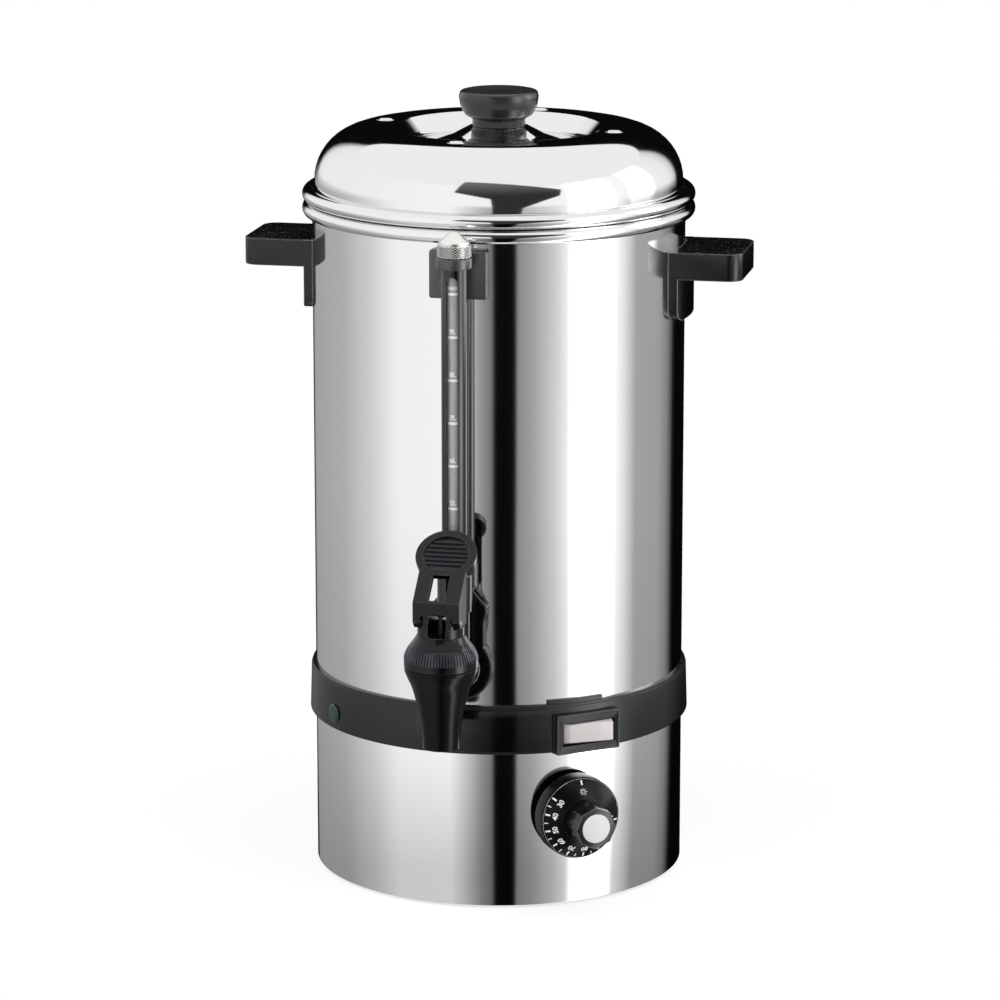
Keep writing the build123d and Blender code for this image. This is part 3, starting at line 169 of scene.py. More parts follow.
def turnedPiece(name, chain, material, steps=96, closed=False, at=(0, 0), sharp=35, **spin):
    bm = bmesh.new()
    spinChain(bm, chain, steps, closed, **spin)
    bmesh.ops.translate(bm, verts=bm.verts, vec=(at[0] * mm, at[1] * mm, 0))
    return finishPiece(bm, name, material, sharp)


def turnedTube(name, outline, material, steps=96, at=(0, 0), segments=6):
    # a wall that closes on its own first point
    return turnedPiece(name, rounded(outline + outline[:1], segments), material, steps, at=at)


def drum(name, radius, low, high, material, steps=240, at=(0, 0)):
    # a plain round body that trims other pieces
    chain = rounded([(0, low), (radius, low), (radius, high), (0, high)])
    return turnedPiece(name, chain, material, steps, at=at)


def facing(azimuth, out, height):
    # turns what is drawn flat on XY into place: its Z points outwards and its Y up
    a = radians(azimuth)
    right = Vector((cos(a), sin(a), 0))
    outward = Vector((sin(a), -cos(a), 0))
    place = outward * out * mm + Vector((0, 0, height * mm))
    return Matrix.Translation(place) @ Matrix((right, (0, 0, 1), outward)).transposed().to_4x4()


def block(bm, size, at=(0, 0, 0), bevel=0.0, segments=3, only=None):
    # a box in mm; only picks the edges to round
    made = bmesh.ops.create_cube(bm, size=1)
    verts = made["verts"]
    bmesh.ops.scale(bm, vec=[s * mm for s in size], verts=verts)
    bmesh.ops.translate(bm, vec=[p * mm for p in at], verts=verts)
    if bevel:
        edges = {e for v in verts for e in v.link_edges}
        if only:
            edges = {e for e in edges if only(e)}
        bmesh.ops.bevel(
            bm,
            geom=list(edges),
            offset=bevel * mm,
            offset_type="OFFSET",
            affect="EDGES",
            segments=segments,
            profile=0.5,
            material=-1,
        )
    return verts


def blockPiece(name, material, *box):
    bm = bmesh.new()
    block(bm, *box)
    return finishPiece(bm, name, material)


def bar(bm, radius, length, place, sides=48, tip=None):
    # a bar in mm about its middle, which may narrow to its tip
    bmesh.ops.create_cone(
        bm,
        cap_ends=True,
        segments=sides,
        radius1=radius * mm,
        radius2=(tip or radius) * mm,
        depth=length * mm,
        matrix=place,
    )


def baked(piece):
    # applies the modifiers
    graph = bpy.context.evaluated_depsgraph_get()
    mesh = bpy.data.meshes.new_from_object(piece.evaluated_get(graph))
    piece.modifiers.clear()
    piece.data = mesh
    mesh.shade_smooth()
    mesh.set_sharp_from_angle(angle=radians(35))


def softened(piece, width, segments=2, angle=40):
    # rounds the sharp edges of a finished piece
    made = piece.modifiers.new("edge", "BEVEL")
    made.width = width * mm
    made.segments = segments
    made.limit_method = "ANGLE"
    made.angle_limit = radians(angle)
    made.harden_normals = False
    baked(piece)


def combined(piece, other, how):
    made = piece.modifiers.new(how, "BOOLEAN")
    made.operation = how
    made.object = other
    made.solver = "EXACT"
    baked(piece)
    bpy.data.objects.remove(other)


def put(piece, slot, *stoodFor, body="urn"):
    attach(piece, body)
    if stoodFor:
        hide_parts(*stoodFor)


def dress(material, *names):
    for name in names:
        nodes[name].data.materials.clear()
        nodes[name].data.materials.append(material)


def noisy(shader, coords, scale, detail, rough=None, relief=None, under=None):
    # a noise that spreads the roughness between two values, or raises a relief over what is under
    tree = shader.id_data
    noise = addNode(tree, "TexNoise", {"Vector": coords}, {"Scale": float(scale), "Detail": detail})
    if rough:
        spread = {"To Min": rough[0], "To Max": rough[1]}
        join(addNode(tree, "MapRange", {"Value": noise}, spread), shader, "Roughness")
    if relief:
        links = {"Height": noise, "Normal": under} if under else {"Height": noise}
        height = {"Strength": relief[0], "Distance": relief[1]}
        join(addNode(tree, "Bump", links, height), shader, "Normal")
    return noise


def tinted(shader, share, color, second=None):
    # runs from the base colour, or a second one, to a colour
    base = shader.inputs["Base Color"]
    colors = {6: second or base.default_value, 7: color}
    tint = addNode(shader.id_data, "Mix", {0: share}, colors, data_type="RGBA")
    if base.is_linked:
        join(base.links[0].from_socket, tint, 6)
    join(tint.outputs[2], shader, "Base Color")


def polishedSteel():
    # bright-annealed sheet, buffed round the tank: clear reflections, a breath of haze, slow waves
    made, tree, shader = newMaterial("steel_mirror_buffed", "#e6e7e8", 0.06, 1.0)
    coords = addNode(tree, "TexCoord").outputs["Object"]
    # buffing lines 0.3 mm apart, round the tank
    lines = addNode(tree, "Mapping", {"Vector": coords}, {"Scale": (260, 260, 3000)})
    noisy(shader, lines, 1, 3.0, rough=(0.03, 0.10))
    # waves 45 mm wide and 140 mm tall from the rolls
    swell = addNode(tree, "Mapping", {"Vector": coords}, {"Scale": (22, 22, 7)})
    noisy(shader, swell, 1, 1.0, relief=(0.10, 0.0012))
    return made


def ridgeHighlightsGrooveShade(tree, shader, ridge, groove):
    # a piece's own groove attribute: ridges painted pale as highlights, grooves painted dark as
    # shade
    depth = addNode(tree, "Attribute", attribute_name="groove")
    tinted(shader, depth.outputs["Fac"], hexColor(groove), hexColor(ridge))


def plainMetal(name, color, rough, grain=900, depth=0.00004, grooveShade=None):
    # sheet or bar stock with a fine grain from the mill, counted along a metre
    made, tree, shader = newMaterial(name, color, rough, 1.0)
    coords = addNode(tree, "TexCoord").outputs["Object"]
    noisy(shader, coords, grain, 4.0, (rough * 0.7, rough * 1.3), (0.4, depth))
    # the grooves' dark colour is painted shade
    if grooveShade:
        ridgeHighlightsGrooveShade(tree, shader, color, grooveShade)
    return made


def dustFlecks(tree, shader, coords, grey):
    # pale dust and filler on what faces up, the flecks coarser than real ones so that they show
    cells = addNode(tree, "TexVoronoi", {"Vector": coords}, {"Scale": 480.0, "Randomness": 1.0})
    patch = addNode(tree, "TexNoise", {"Vector": coords}, {"Scale": 260.0, "Detail": 1.0})
    shape = addNode(tree, "NewGeometry")
    parts = addNode(tree, "SeparateXYZ", {"Vector": shape.outputs["True Normal"]})
    limits = ((cells, 0.30, 0.12), (patch, 0.49, 0.60), (parts.outputs["Z"], 0.80, 0.95))
    share = None
    for source, low, high in limits:
        part = addNode(tree, "MapRange", {"Value": source}, {"From Min": low, "From Max": high})
        if share:
            part = addNode(tree, "Math", {0: share, 1: part}, operation="MULTIPLY")
        share = part
    tinted(shader, share, [grey] * 3 + [1])


def paintedEdgeHighlights(tree, shader, rim, color):
    # edges painted pale as highlights, found where the rounded normal leaves the flat one
    flat = addNode(tree, "NewGeometry").outputs["Normal"]
    apart = addNode(tree, "VectorMath", {0: rim, 1: flat}, operation="DISTANCE").outputs["Value"]
    highlighted = addNode(tree, "MapRange", {"Value": apart}, {"From Min": 0.12, "From Max": 0.5})
    tinted(shader, highlighted, hexColor(color))


def mouldedPlastic(
    name,
    color,
    rough,
    grain=1500,  # sparks of the mould along a metre
    depth=0.00003,  # how deep they are, in metres
    flecks=0.0,  # grey of the dust on top
    edge=0.0,  # rounding of its edges in the light, in mm
    ridgeHighlight=None,  # colour of painted highlights on ridges over grooves
    edgeHighlight=None,  # colour of the painted highlights on the edges, which needs edge
    shine=0.5,
    **sockets,
):
    # injection moulded: faint spark texture, gloss that wanders a little, edges that catch light,
    # and painted highlights on edges where asked
    sockets["Specular IOR Level"] = shine
    made, tree, shader = newMaterial(name, color, rough, 0.0, **sockets)
    coords = addNode(tree, "TexCoord").outputs["Object"]
    rim = addNode(tree, "Bevel", inputs={"Radius": edge * mm}, samples=6) if edge else None
    noisy(shader, coords, 60, 3.0, rough=(rough * 0.75, rough * 1.3))
    noisy(shader, coords, grain, 2.0, relief=(0.5, depth), under=rim)
    if flecks:
        dustFlecks(tree, shader, coords, flecks)
    # the ridges' pale colour is a painted highlight
    if ridgeHighlight:
        ridgeHighlightsGrooveShade(tree, shader, ridgeHighlight, color)
    # the edges' pale colour is a painted highlight
    if edgeHighlight:
        paintedEdgeHighlights(tree, shader, rim, edgeHighlight)
    return made


def scaledGlass():
    # drawn borosilicate tube: clear, with a breath of limescale that comes in tall streaks
    clear = {"Transmission Weight": 0.62, "IOR": 1.47}
    made, tree, shader = newMaterial("glass_drawn_scaled", "#ececea", 0.06, **clear)
    coords = addNode(tree, "TexCoord").outputs["Object"]
    tall = addNode(tree, "Mapping", {"Vector": coords}, {"Scale": (700, 700, 60)})
    streaks = noisy(shader, tall, 1, 4.0, rough=(0.03, 0.16))
    tinted(shader, streaks, hexColor("#d2d2d0"), hexColor("#f4f4f2"))
    return made


steel = polishedSteel()
tankSteel = plainMetal("steel_pressed_inner", "#c4c5c5", 0.28)  # soft grey, mill finish
sheetSteel = plainMetal("steel_sheet_zinc", "#b4b6b8", 0.35)  # dull, a little blue
nickel = plainMetal(  # warm and bright, painted dark as shade between its little teeth
    "brass_nickel_plated", "#ebeae7", 0.28, depth=0.00003, grooveShade="#242322"
)
brass = plainMetal("brass_turned", "#c8a15a", 0.25)  # yellow, freshly cut
copper = plainMetal("copper_drawn", "#c27a58", 0.3)  # red, soft gloss
castAlloy = plainMetal("aluminium_cast", "#b9babc", 0.45, 400, 0.0001)  # coarse and pale
wire = plainMetal("spring_wire_drawn", "#a9abad", 0.25)  # even grey
glass = scaledGlass()
bakelite = mouldedPlastic(  # handles: satin, dusty on top, edges painted pale as highlights
    "phenolic_moulded_black", "#0b0b0c", 0.2, 1300, 0.00004, 0.16, 0.9, edgeHighlight="#9a9a9c", shine=0.42
)
knobPlastic = mouldedPlastic(  # knob: greyer and softer from the steam
    "phenolic_satin_black", "#1f1f20", 0.26, 1500, 0.00002, edge=0.4, shine=0.6
)
tapPlastic = mouldedPlastic(  # spout: deep gloss with a blue cast
    "nylon_moulded_black", "#08080c", 0.11, 1400, 0.00001, edge=0.45, shine=0.16
)
leverPlastic = mouldedPlastic(  # lever and yoke: gloss, edges painted a little pale as highlights
    "nylon_lever_black", "#0b0b10", 0.14, 1400, 0.00001, edge=0.45, edgeHighlight="#4a4a52", shine=0.34
)
ridgePlastic = mouldedPlastic(  # bonnet: gloss, its ribs painted paler than the grooves as highlights
    "nylon_ribbed_black", "#06060a", 0.11, 1400, 0.00001, ridgeHighlight="#2c2c34", shine=0.3
)
gaugePlastic = mouldedPlastic(  # gauge column: satin, its long edges painted bright as highlights
    "nylon_satin_black", "#09090a", 0.16, 1500, 0.00008, edge=0.4, edgeHighlight="#5e5e60", shine=0.62
)
bracketPlastic = mouldedPlastic(  # gauge bracket: grained and grey in the light, its edges painted pale as highlights
    "nylon_grained_black", "#2a2a2b", 0.3, 1100, 0.00012, edge=0.4, edgeHighlight="#747476", shine=1.0
)
basePlastic = mouldedPlastic(  # gauge base: gloss, its rims painted bright as highlights
    "nylon_gauge_base_black", "#08080b", 0.12, 1400, 0.00001, edge=1.0, edgeHighlight="#a8a8ac", shine=0.3
)
bandPlastic = mouldedPlastic(  # band: even satin
    "polypropylene_satin_black", "#121213", 0.3, 1700, edge=0.3, shine=0.42
)
framePlastic = mouldedPlastic(  # switch bezel: flatter and greyer than the band
    "nylon_switch_frame_black", "#1a1a1b", 0.34, 1700, 0.00004, edge=0.3, shine=0.45
)
panelPlastic = mouldedPlastic(  # name plate: piano gloss
    "acrylic_panel_black", "#070708", 0.1, 900, 0.00001, edge=0.2
)
dialPlastic = mouldedPlastic(  # dial: near black, so that the print stands out; its edges painted pale as highlights
    "phenolic_dial_black", "#070708", 0.26, 1500, 0.00001, edge=0.3, edgeHighlight="#56565a", shine=0.15
)
gripPlastic = mouldedPlastic(  # dial's grip: glossier, its corners painted pale as highlights
    "phenolic_grip_black", "#101011", 0.2, 1500, 0.00001, edge=0.6, edgeHighlight="#8c8c8e", shine=0.5
)
creamPlastic = mouldedPlastic("urea_moulded_cream", "#d8d4c6", 0.4)  # warm and dull
whitePlastic = mouldedPlastic("abs_moulded_white", "#cececc", 0.3, 1200, 0.00001)  # clean satin
rubber = mouldedPlastic("rubber_moulded_black", "#151515", 0.7, 900, 0.0001)  # matt
silicone = mouldedPlastic("silicone_moulded", "#cfcdc4", 0.45, 900, 0.00004)  # milky
milky = {"Subsurface Weight": 0.2, "Subsurface Scale": 0.0005}
rockerPlastic = mouldedPlastic(  # lit through a little, pale with a pink breath
    "polycarbonate_rocker", "#cac4c4", 0.24, 900, 0.00001, edge=0.3, **milky
)
lensPlastic = mouldedPlastic(  # dark green jewel under a clear skin
    "polycarbonate_lens_green", "#082a2a", 0.14, 700, 0.00001, **{"Coat Weight": 0.2}
)
acetal = mouldedPlastic("acetal_turned_grey", "#2b2b2d", 0.35, 1200, 0.00002)  # dark, waxy
printInk = mouldedPlastic("screen_print_white", "#e8e8e6", 0.5, 1800, 0.00001)  # flat white
print("materials done")


# the tank with its rolled rim
tankSizes = {
    "outer": 112.5,
    "inner": 111.8,
    "low": 108.2,
    "under": 120.2,
    "floor": 121.0,
    "floorFillet": 3.0,
    "beadMiddle": (115.1, 407.0),
    "beadHalf": (3.3, 4.0),
    "beadTurn": (-142, 180),
    "beadSteps": 24,
    "steps": 240,
}
t = tankSizes


def ovalPoint(middle, half, a):
    return (middle[0] + half[0] * cos(a), middle[1] + half[1] * sin(a))


beadFrom, beadTo = t["beadTurn"]
beadArc = []
for i in range(t["beadSteps"] + 1):
    a = radians(beadFrom + (beadTo - beadFrom) * i / t["beadSteps"])
    beadArc.append(ovalPoint(t["beadMiddle"], t["beadHalf"], a))
tankChain = rounded(
    [(0, t["under"]), (t["inner"], t["under"]), (t["inner"], t["low"]), (t["outer"], t["low"])]
    + beadArc
    + [(t["inner"], t["floor"], t["floorFillet"]), (0, t["floor"])]
)
tank = turnedPiece("tank_wall", tankChain, steel, t["steps"])
put(tank, "mirror_steel", "tank_pot")

# the skirt, necked into the tank's lower edge
skirtSizes = {
    "outer": 112.5,
    "wall": 0.7,
    "low": 1.5,
    "high": 108.15,
    "neck": 111.7,
    "top": 116.1,
}
s = skirtSizes
inside = s["outer"] - s["wall"]
inNeck = s["neck"] - s["wall"]
skirtWall = [
    (inside, s["low"]), (s["outer"], s["low"], 0.3), (s["outer"], s["high"], 0.2),
    (s["neck"], s["high"]), (s["neck"], s["top"]), (inNeck, s["top"]), (inNeck, s["high"] - 1),
    (inside, s["high"] - 2),
]
skirt = turnedTube("skirt_wall", skirtWall, steel, t["steps"])
put(skirt, "mirror_steel", "base_skirt")
print("tank and skirt done")

# the lid: a dished top, drawn over a shoulder into the plug wall
lidSizes = {
    "crest": 455.5,
    "dish": [(18, 0, 2.5), (28, 5.0, 12), (42, 9.0, 16), (54, 10.6, 7), (63.8, 0, 2.5)],
    "shoulder": 32,
    "plug": 111.0,
    "plugLow": 405.3,
    "bead": (114.35, 415.55),
    "beadHalf": (4.05, 4.25),
    "beadSteps": 28,
    "sheet": 0.7,
    "ventRing": 73.0,
    "ventStart": -8.5,
    "ventCount": 4,
    "ventHole": 5.4,
    "steps": 240,
}
d = lidSizes
lidChain = rounded(
    [(2.6, d["crest"])]
    + [(r, d["crest"] - drop, fillet) for r, drop, fillet in d["dish"]]
    + [(d["plug"], d["crest"], d["shoulder"]), (d["plug"], d["plugLow"])],
    12,
)
lid = turnedPiece("lid_dome", lidChain, steel, d["steps"], sharp=60)
sheet = lid.modifiers.new("sheet", "SOLIDIFY")
sheet.thickness = d["sheet"] * mm
sheet.offset = -1
baked(lid)
ventPlaces = []
for i in range(d["ventCount"]):
    a = radians(d["ventStart"] + 360 / d["ventCount"] * i)
    ventPlaces.append((d["ventRing"] * mm * sin(a), -d["ventRing"] * mm * cos(a)))
cutter = bmesh.new()
for x, y in ventPlaces:
    bar(cutter, d["ventHole"], 8, Matrix.Translation((x, y, d["crest"] * mm)))
combined(lid, finishPiece(cutter, "vent_cutter", steel), "DIFFERENCE")
put(lid, "mirror_steel", "lid_shell", body="lid")

ventSizes = {
    "eyelet": [
        (5.55, 455.0), (5.55, 455.75, 0.3), (4.3, 455.6, 0.8), (3.1, 453.4, 0.8), (3.1, 452.3),
        (3.8, 452.3), (3.8, 453.6, 0.8), (4.8, 455.0),
    ],
    "steps": 48,
}
vents = bmesh.new()
for x, y in ventPlaces:
    one = bmesh.new()
    spinChain(one, rounded(ventSizes["eyelet"], 4), ventSizes["steps"], True)
    bmesh.ops.translate(one, verts=one.verts, vec=(x, y, 0))
    mesh = bpy.data.meshes.new("vent")
    one.to_mesh(mesh)
    one.free()
    vents.from_mesh(mesh)
    bpy.data.meshes.remove(mesh)
put(finishPiece(vents, "lid_vents", steel), "mirror_steel", body="lid")

lidBead = []
for i in range(d["beadSteps"]):
    r, z = ovalPoint(d["bead"], d["beadHalf"], tau * i / d["beadSteps"])
    lidBead.append((r * mm, z * mm))
put(turnedPiece("lid_bead", lidBead, steel, d["steps"], True), "mirror_steel", body="lid")

knobSizes = {
    "low": 455.56,
    "neck": 15.9,
    "neckTop": 459.9,
    "flare": [(20.6, 462.7, 4), (23.2, 468.2, 8)],
    "widest": 24.0,
    "rim": 473.6,
    "top": 477.2,
    "hollow": [(10, 475.9, 20), (0, 475.5)],
}
k = knobSizes
knobChain = rounded(
    [(0, k["low"]), (k["neck"], k["low"], 0.6), (k["neck"], k["neckTop"], 1.2)]
    + k["flare"]
    + [(k["widest"], k["rim"], 2.5), (23.2, k["top"] - 0.6, 1.6), (20.5, k["top"], 2.0)]
    + k["hollow"],
    8,
)
knob = turnedPiece("knob_bowl", knobChain, knobPlastic, 128, sharp=50)
put(knob, "black_bakelite", "lid_knob", body="lid")
print("lid done")

# the band, with the pad that the switch sits on and the tab above it
bandSizes = {"low": 96.3, "high": 125.5, "inner": 112.6, "top": 115.2, "bottom": 116.1}
b = bandSizes
bandChain = rounded(
    [
        (b["inner"], b["low"]), (b["bottom"], b["low"], 0.9),
        (b["top"] + 0.05, b["high"] - 1.7, 0.2), (b["top"] - 0.4, b["high"] - 1.65, 0.2),
        (b["top"] - 0.45, b["high"], 0.5), (b["inner"], b["high"]),
    ],
    4,
)
band = turnedPiece("band_hoop", bandChain, bandPlastic, 240, True)
padSizes = {"size": (43.6, 23.6, 6), "out": 112.55, "azimuth": 38.4, "z": 107.6, "edge": 0.5}
padPlace = (0, 0, padSizes["out"])
pad = blockPiece("band_pad", bandPlastic, padSizes["size"], padPlace, padSizes["edge"])
pad.data.transform(facing(padSizes["azimuth"], 0, padSizes["z"]))
combined(pad, drum("band_core", b["inner"], 60, 160, bandPlastic), "DIFFERENCE")
tabSizes = {"out": 114.1, "low": 112, "high": 128.2, "start": 26.3, "arc": 18.0, "steps": 24}
tabChain = rounded(
    [
        (b["inner"], tabSizes["low"]), (tabSizes["out"], tabSizes["low"]),
        (tabSizes["out"], tabSizes["high"], 0.4), (b["inner"], tabSizes["high"]),
    ],
    3,
)
arc = {"start": tabSizes["start"], "arc": tabSizes["arc"]}
tab = turnedPiece("band_tab", tabChain, bandPlastic, tabSizes["steps"], True, **arc)
put(band, "band_plastic", "band_ring")
put(pad, "band_plastic")
put(tab, "band_plastic")

plateSizes = {
    "section": [(115.95, 98.0), (116.75, 98.0, 0.25), (116.1, 123.2, 0.25), (115.35, 123.2)],
    "start": -13.5,
    "arc": 40.0,
    "steps": 60,
}
plateChain = rounded(plateSizes["section"], 3)
arc = {"start": plateSizes["start"], "arc": plateSizes["arc"]}
plate = turnedPiece("panel_strip", plateChain, panelPlastic, plateSizes["steps"], True, **arc)
put(plate, "panel_plastic", "front_plate")

# the rocker switch
switchSizes = {
    "azimuth": 38.4,
    "z": 107.6,
    "back": 115.7,
    "face": 118.7,
    "bezel": (42, 24.5, 3.0),
    "hole": (35.0, 14.3, 20),
    "corner": 1.0,
    "edge": 0.25,
}
w = switchSizes


def outerEdge(e):
    # the front edges of the bezel and its four corners
    front = max(v.co.z for v in e.verts) > (w["bezel"][2] - 0.1) * mm
    return front or abs(e.verts[0].co.z - e.verts[1].co.z) > mm


bezelPlace = (0, 0, w["bezel"][2] / 2)
bezel = blockPiece("switch_bezel", framePlastic, w["bezel"], bezelPlace, w["corner"], 4, outerEdge)
combined(bezel, blockPiece("switch_hole", framePlastic, w["hole"], (0, 0, 1)), "DIFFERENCE")
softened(bezel, w["edge"])
bezel.data.transform(facing(w["azimuth"], w["back"], w["z"]))
put(bezel, "black_plastic")

rockerSizes = {
    "side": [
        (-16.9, -5.0), (15.9, -5.0), (16.1, 0.0), (15.3, 6.2), (-11.6, 4.8), (-16.9, 1.2),
        (-17.2, 0.0),
    ],
    "width": 13.8,
    "crown": 0.80,  # how much narrower it is above its waist
    "waist": 3,
    "edge": 0.6,
    "sunk": 4.0,
    "tilt": -7,
}
v = rockerSizes
rocker = bmesh.new()
ring = [rocker.verts.new((x * mm, -v["width"] / 2 * mm, z * mm)) for x, z in v["side"]]
grown = bmesh.ops.extrude_face_region(rocker, geom=[rocker.faces.new(ring)])
grownVerts = [part for part in grown["geom"] if isinstance(part, bmesh.types.BMVert)]
bmesh.ops.translate(rocker, vec=(0, v["width"] * mm, 0), verts=grownVerts)
for vert in rocker.verts:
    if vert.co.z > v["waist"] * mm:
        vert.co.y *= v["crown"]
rockerPiece = finishPiece(rocker, "switch_paddle", rockerPlastic)
softened(rockerPiece, v["edge"], 3, 20)
tilt = Matrix.Rotation(radians(v["tilt"]), 4, "Y")
rockerPiece.data.transform(facing(w["azimuth"], w["face"] - v["sunk"], w["z"]) @ tilt)
put(rockerPiece, "rocker_plastic", "switch_rocker", body="rocker")

lampSizes = {
    "lens": [(0, 0), (5.7, 0), (5.7, 0.7, 0.2), (4.6, 1.15, 0.6), (0, 1.3)],
    "azimuth": -47.5,
    "out": 115.95,
    "z": 106.2,
}
lensPiece = turnedPiece("lamp_jewel", rounded(lampSizes["lens"], 5), lensPlastic, 64)
lensPiece.data.transform(facing(lampSizes["azimuth"], lampSizes["out"], lampSizes["z"]))
put(lensPiece, "lamp_lens", "pilot_lens")
print("band and switch done")

# the thermostat's dial: a low cone, an eight-sided grip and a white cap
dialSizes = {
    "azimuth": 34.0,
    "z": 58.0,
    "back": 116.9,
    "radius": 25.2,
    "rim": 25.0,
    "depth": 10.0,
    "rise": 7.0,
    "crown": 13.6,
}
g = dialSizes
dialChain = rounded(
    [
        (23.2, 0.2), (24.9, 0.0, 0.2), (g["radius"], 0.6, 0.3), (g["rim"], g["depth"], 0.7),
        (g["crown"], g["depth"] + g["rise"], 1.5), (0, g["depth"] + g["rise"]),
    ],
    5,
)
dialDisc = turnedPiece("dial_disc", dialChain, dialPlastic, 128)
gripSizes = {"sides": 8, "foot": 13.3, "tip": 12.7, "length": 20, "middle": 14, "edge": 0.4}
r = gripSizes
grip = bmesh.new()
gripMiddle = Matrix.Translation((0, 0, (g["depth"] + r["middle"]) * mm))
bar(grip, r["foot"], r["length"], gripMiddle, r["sides"], r["tip"])
gripPiece = finishPiece(grip, "dial_grip", gripPlastic)
softened(gripPiece, r["edge"], 2, 20)
capSizes = {"section": [(8.8, 33.2), (8.8, 34.3, 0.4), (0, 34.5)], "steps": 64}
cap = turnedPiece("dial_button", rounded(capSizes["section"], 4), whitePlastic, capSizes["steps"])
toDial = facing(g["azimuth"], g["back"], g["z"])
for piece in (dialDisc, gripPiece, cap):
    piece.data.transform(toDial)
put(dialDisc, "black_plastic", "dial_knob", body="dial")
put(gripPiece, "black_plastic", body="dial")
put(cap, "white_plastic", "dial_cap", body="dial")


def flatText(name, body, size, material, depth=0.04):
    # a printed character as a thin mesh, drawn flat on XY about its middle
    curve = bpy.data.curves.new(name, "FONT")
    curve.body = body
    curve.size = size * mm
    curve.offset = size * 0.022 * mm  # a little bolder
    curve.extrude = depth * mm
    curve.align_x = "CENTER"
    curve.align_y = "CENTER"
    maker = bpy.data.objects.new(name, curve)
    scene.collection.objects.link(maker)
    bpy.context.view_layer.update()
    graph = bpy.context.evaluated_depsgraph_get()
    mesh = bpy.data.meshes.new_from_object(maker.evaluated_get(graph))
    bpy.data.objects.remove(maker)
    mesh.materials.clear()
    mesh.materials.append(material)
    return mesh


# the dial's print: bars as (width, length, radius), angles counted from the right
markSizes = {
    "first": 141.5,
    "step": 13.18,
    "count": 17,
    "lowest": 30,
    "degrees": 5,
    "longBar": (1.0, 3.0, 22.2),
    "shortBar": (0.55, 2.3, 22.6),
    "number": (4.4, 18.2),
    "offBar": (0.9, 3.0, 22.2),
    "star": (0.34, 1.5, 17.3),
    # the ring is a thin printed line, a painted highlight along the rim
    "ring": [(24.2, 0.03), (24.27, 0.03), (24.27, -0.05), (24.2, -0.05)],
    "above": 0.07,
}
m = markSizes
marks = bmesh.new()


def slopeHeight(radius):
    # a hair above the dial's conical face
    return g["depth"] + g["rise"] * (g["rim"] - radius) / (g["rim"] - g["crown"]) + m["above"]


def addMark(mesh, radius, angle):
    # lays a flat mark on the cone
    slope = atan2(g["rise"], g["rim"] - g["crown"])
    place = (
        Matrix.Rotation(radians(angle - 90), 4, "Z")
        @ Matrix.Translation((0, radius * mm, slopeHeight(radius) * mm))
        @ Matrix.Rotation(-slope, 4, "X")
    )
    mesh.transform(place)
    marks.from_mesh(mesh)
    bpy.data.meshes.remove(mesh)


def tickMesh(width, length, turns=(0,), start=0.0, thick=0.08):
    # one printed bar, or several turned about a middle as a star
    bm = bmesh.new()
    for turn in turns:
        verts = block(bm, (width, length, thick), (0, start, 0))
        spin = Matrix.Rotation(radians(turn), 3, "Z")
        bmesh.ops.rotate(bm, verts=verts, cent=(0, 0, 0), matrix=spin)
    mesh = bpy.data.meshes.new("tick")
    bm.to_mesh(mesh)
    bm.free()
    return mesh


for i in range(m["count"]):
    angle = m["first"] + m["step"] * i
    numbered = i % 2 == 0
    width, length, radius = m["longBar"] if numbered else m["shortBar"]
    addMark(tickMesh(width, length), radius, angle)
    if numbered:
        size, radius = m["number"]
        body = str(m["lowest"] + m["degrees"] * i)
        addMark(flatText("number", body, size, printInk), radius, angle)
width, length, radius = m["offBar"]
addMark(tickMesh(width, length), radius, 90)
width, length, radius = m["star"]
addMark(tickMesh(width, length, range(0, 360, 45), length), radius, 90)
# the printed ring along the rim, a painted highlight
ring = [(radius * mm, (slopeHeight(radius) + z) * mm) for radius, z in m["ring"]]
spinChain(marks, ring, 128, True)
marksPiece = finishPiece(marks, "dial_marks", printInk)
marksPiece.data.transform(toDial)
put(marksPiece, "white_plastic", body="dial")
print("dial done")

# the side handles: a grip on a foot that follows the tank
handleSizes = {
    "tank": 112.5,
    "gap": 0.05,
    "top": 387.0,
    "grip": 16.5,
    "gripCorner": 9.0,
    "gripEdge": 0.6,
    "plate": 42.0,
    "plateCorner": 8.0,
    "plateEdge": 0.8,
    "width": 59.0,
    "reach": 152.3,
    "thick": 5.5,
}
h = handleSizes


def gripCorner(e):
    # the upright corners at the grip's outer end
    upright = abs(e.verts[0].co.z - e.verts[1].co.z) > 5 * mm
    return upright and e.verts[0].co.y < -h["reach"] * 0.9 * mm


def plateCorner(e):
    # the lower corners of the foot
    across = abs(e.verts[0].co.y - e.verts[1].co.y) > 5 * mm
    return across and e.verts[0].co.z < (h["top"] - h["plate"] + 1) * mm


def handlePiece(name, side):
    size = (h["width"], h["reach"], h["grip"])
    middle = (0, -h["reach"] / 2, h["top"] - h["grip"] / 2)
    piece = blockPiece(name, bakelite, size, middle, h["gripCorner"], 10, gripCorner)
    softened(piece, h["gripEdge"], 3, 50)
    size = (h["width"], 60, h["plate"])
    middle = (0, -110, h["top"] - h["plate"] / 2)  # both trimmed to the tank below
    plate = blockPiece(name + "_plate", bakelite, size, middle, h["plateCorner"], 8, plateCorner)
    limit = drum(name + "_limit", h["tank"] + h["thick"], 300, 430, bakelite)
    combined(plate, limit, "INTERSECT")
    softened(plate, h["plateEdge"], 3, 50)
    combined(piece, plate, "UNION")
    core = drum(name + "_core", h["tank"] + h["gap"], 300, 430, bakelite)
    combined(piece, core, "DIFFERENCE")
    piece.data.transform(Matrix.Rotation(radians(side), 4, "Z"))
    return piece


put(handlePiece("handle_grip_right", 90), "black_bakelite", "handle_right")
put(handlePiece("handle_grip_left", -90), "black_bakelite", "handle_left")
print("handles done")

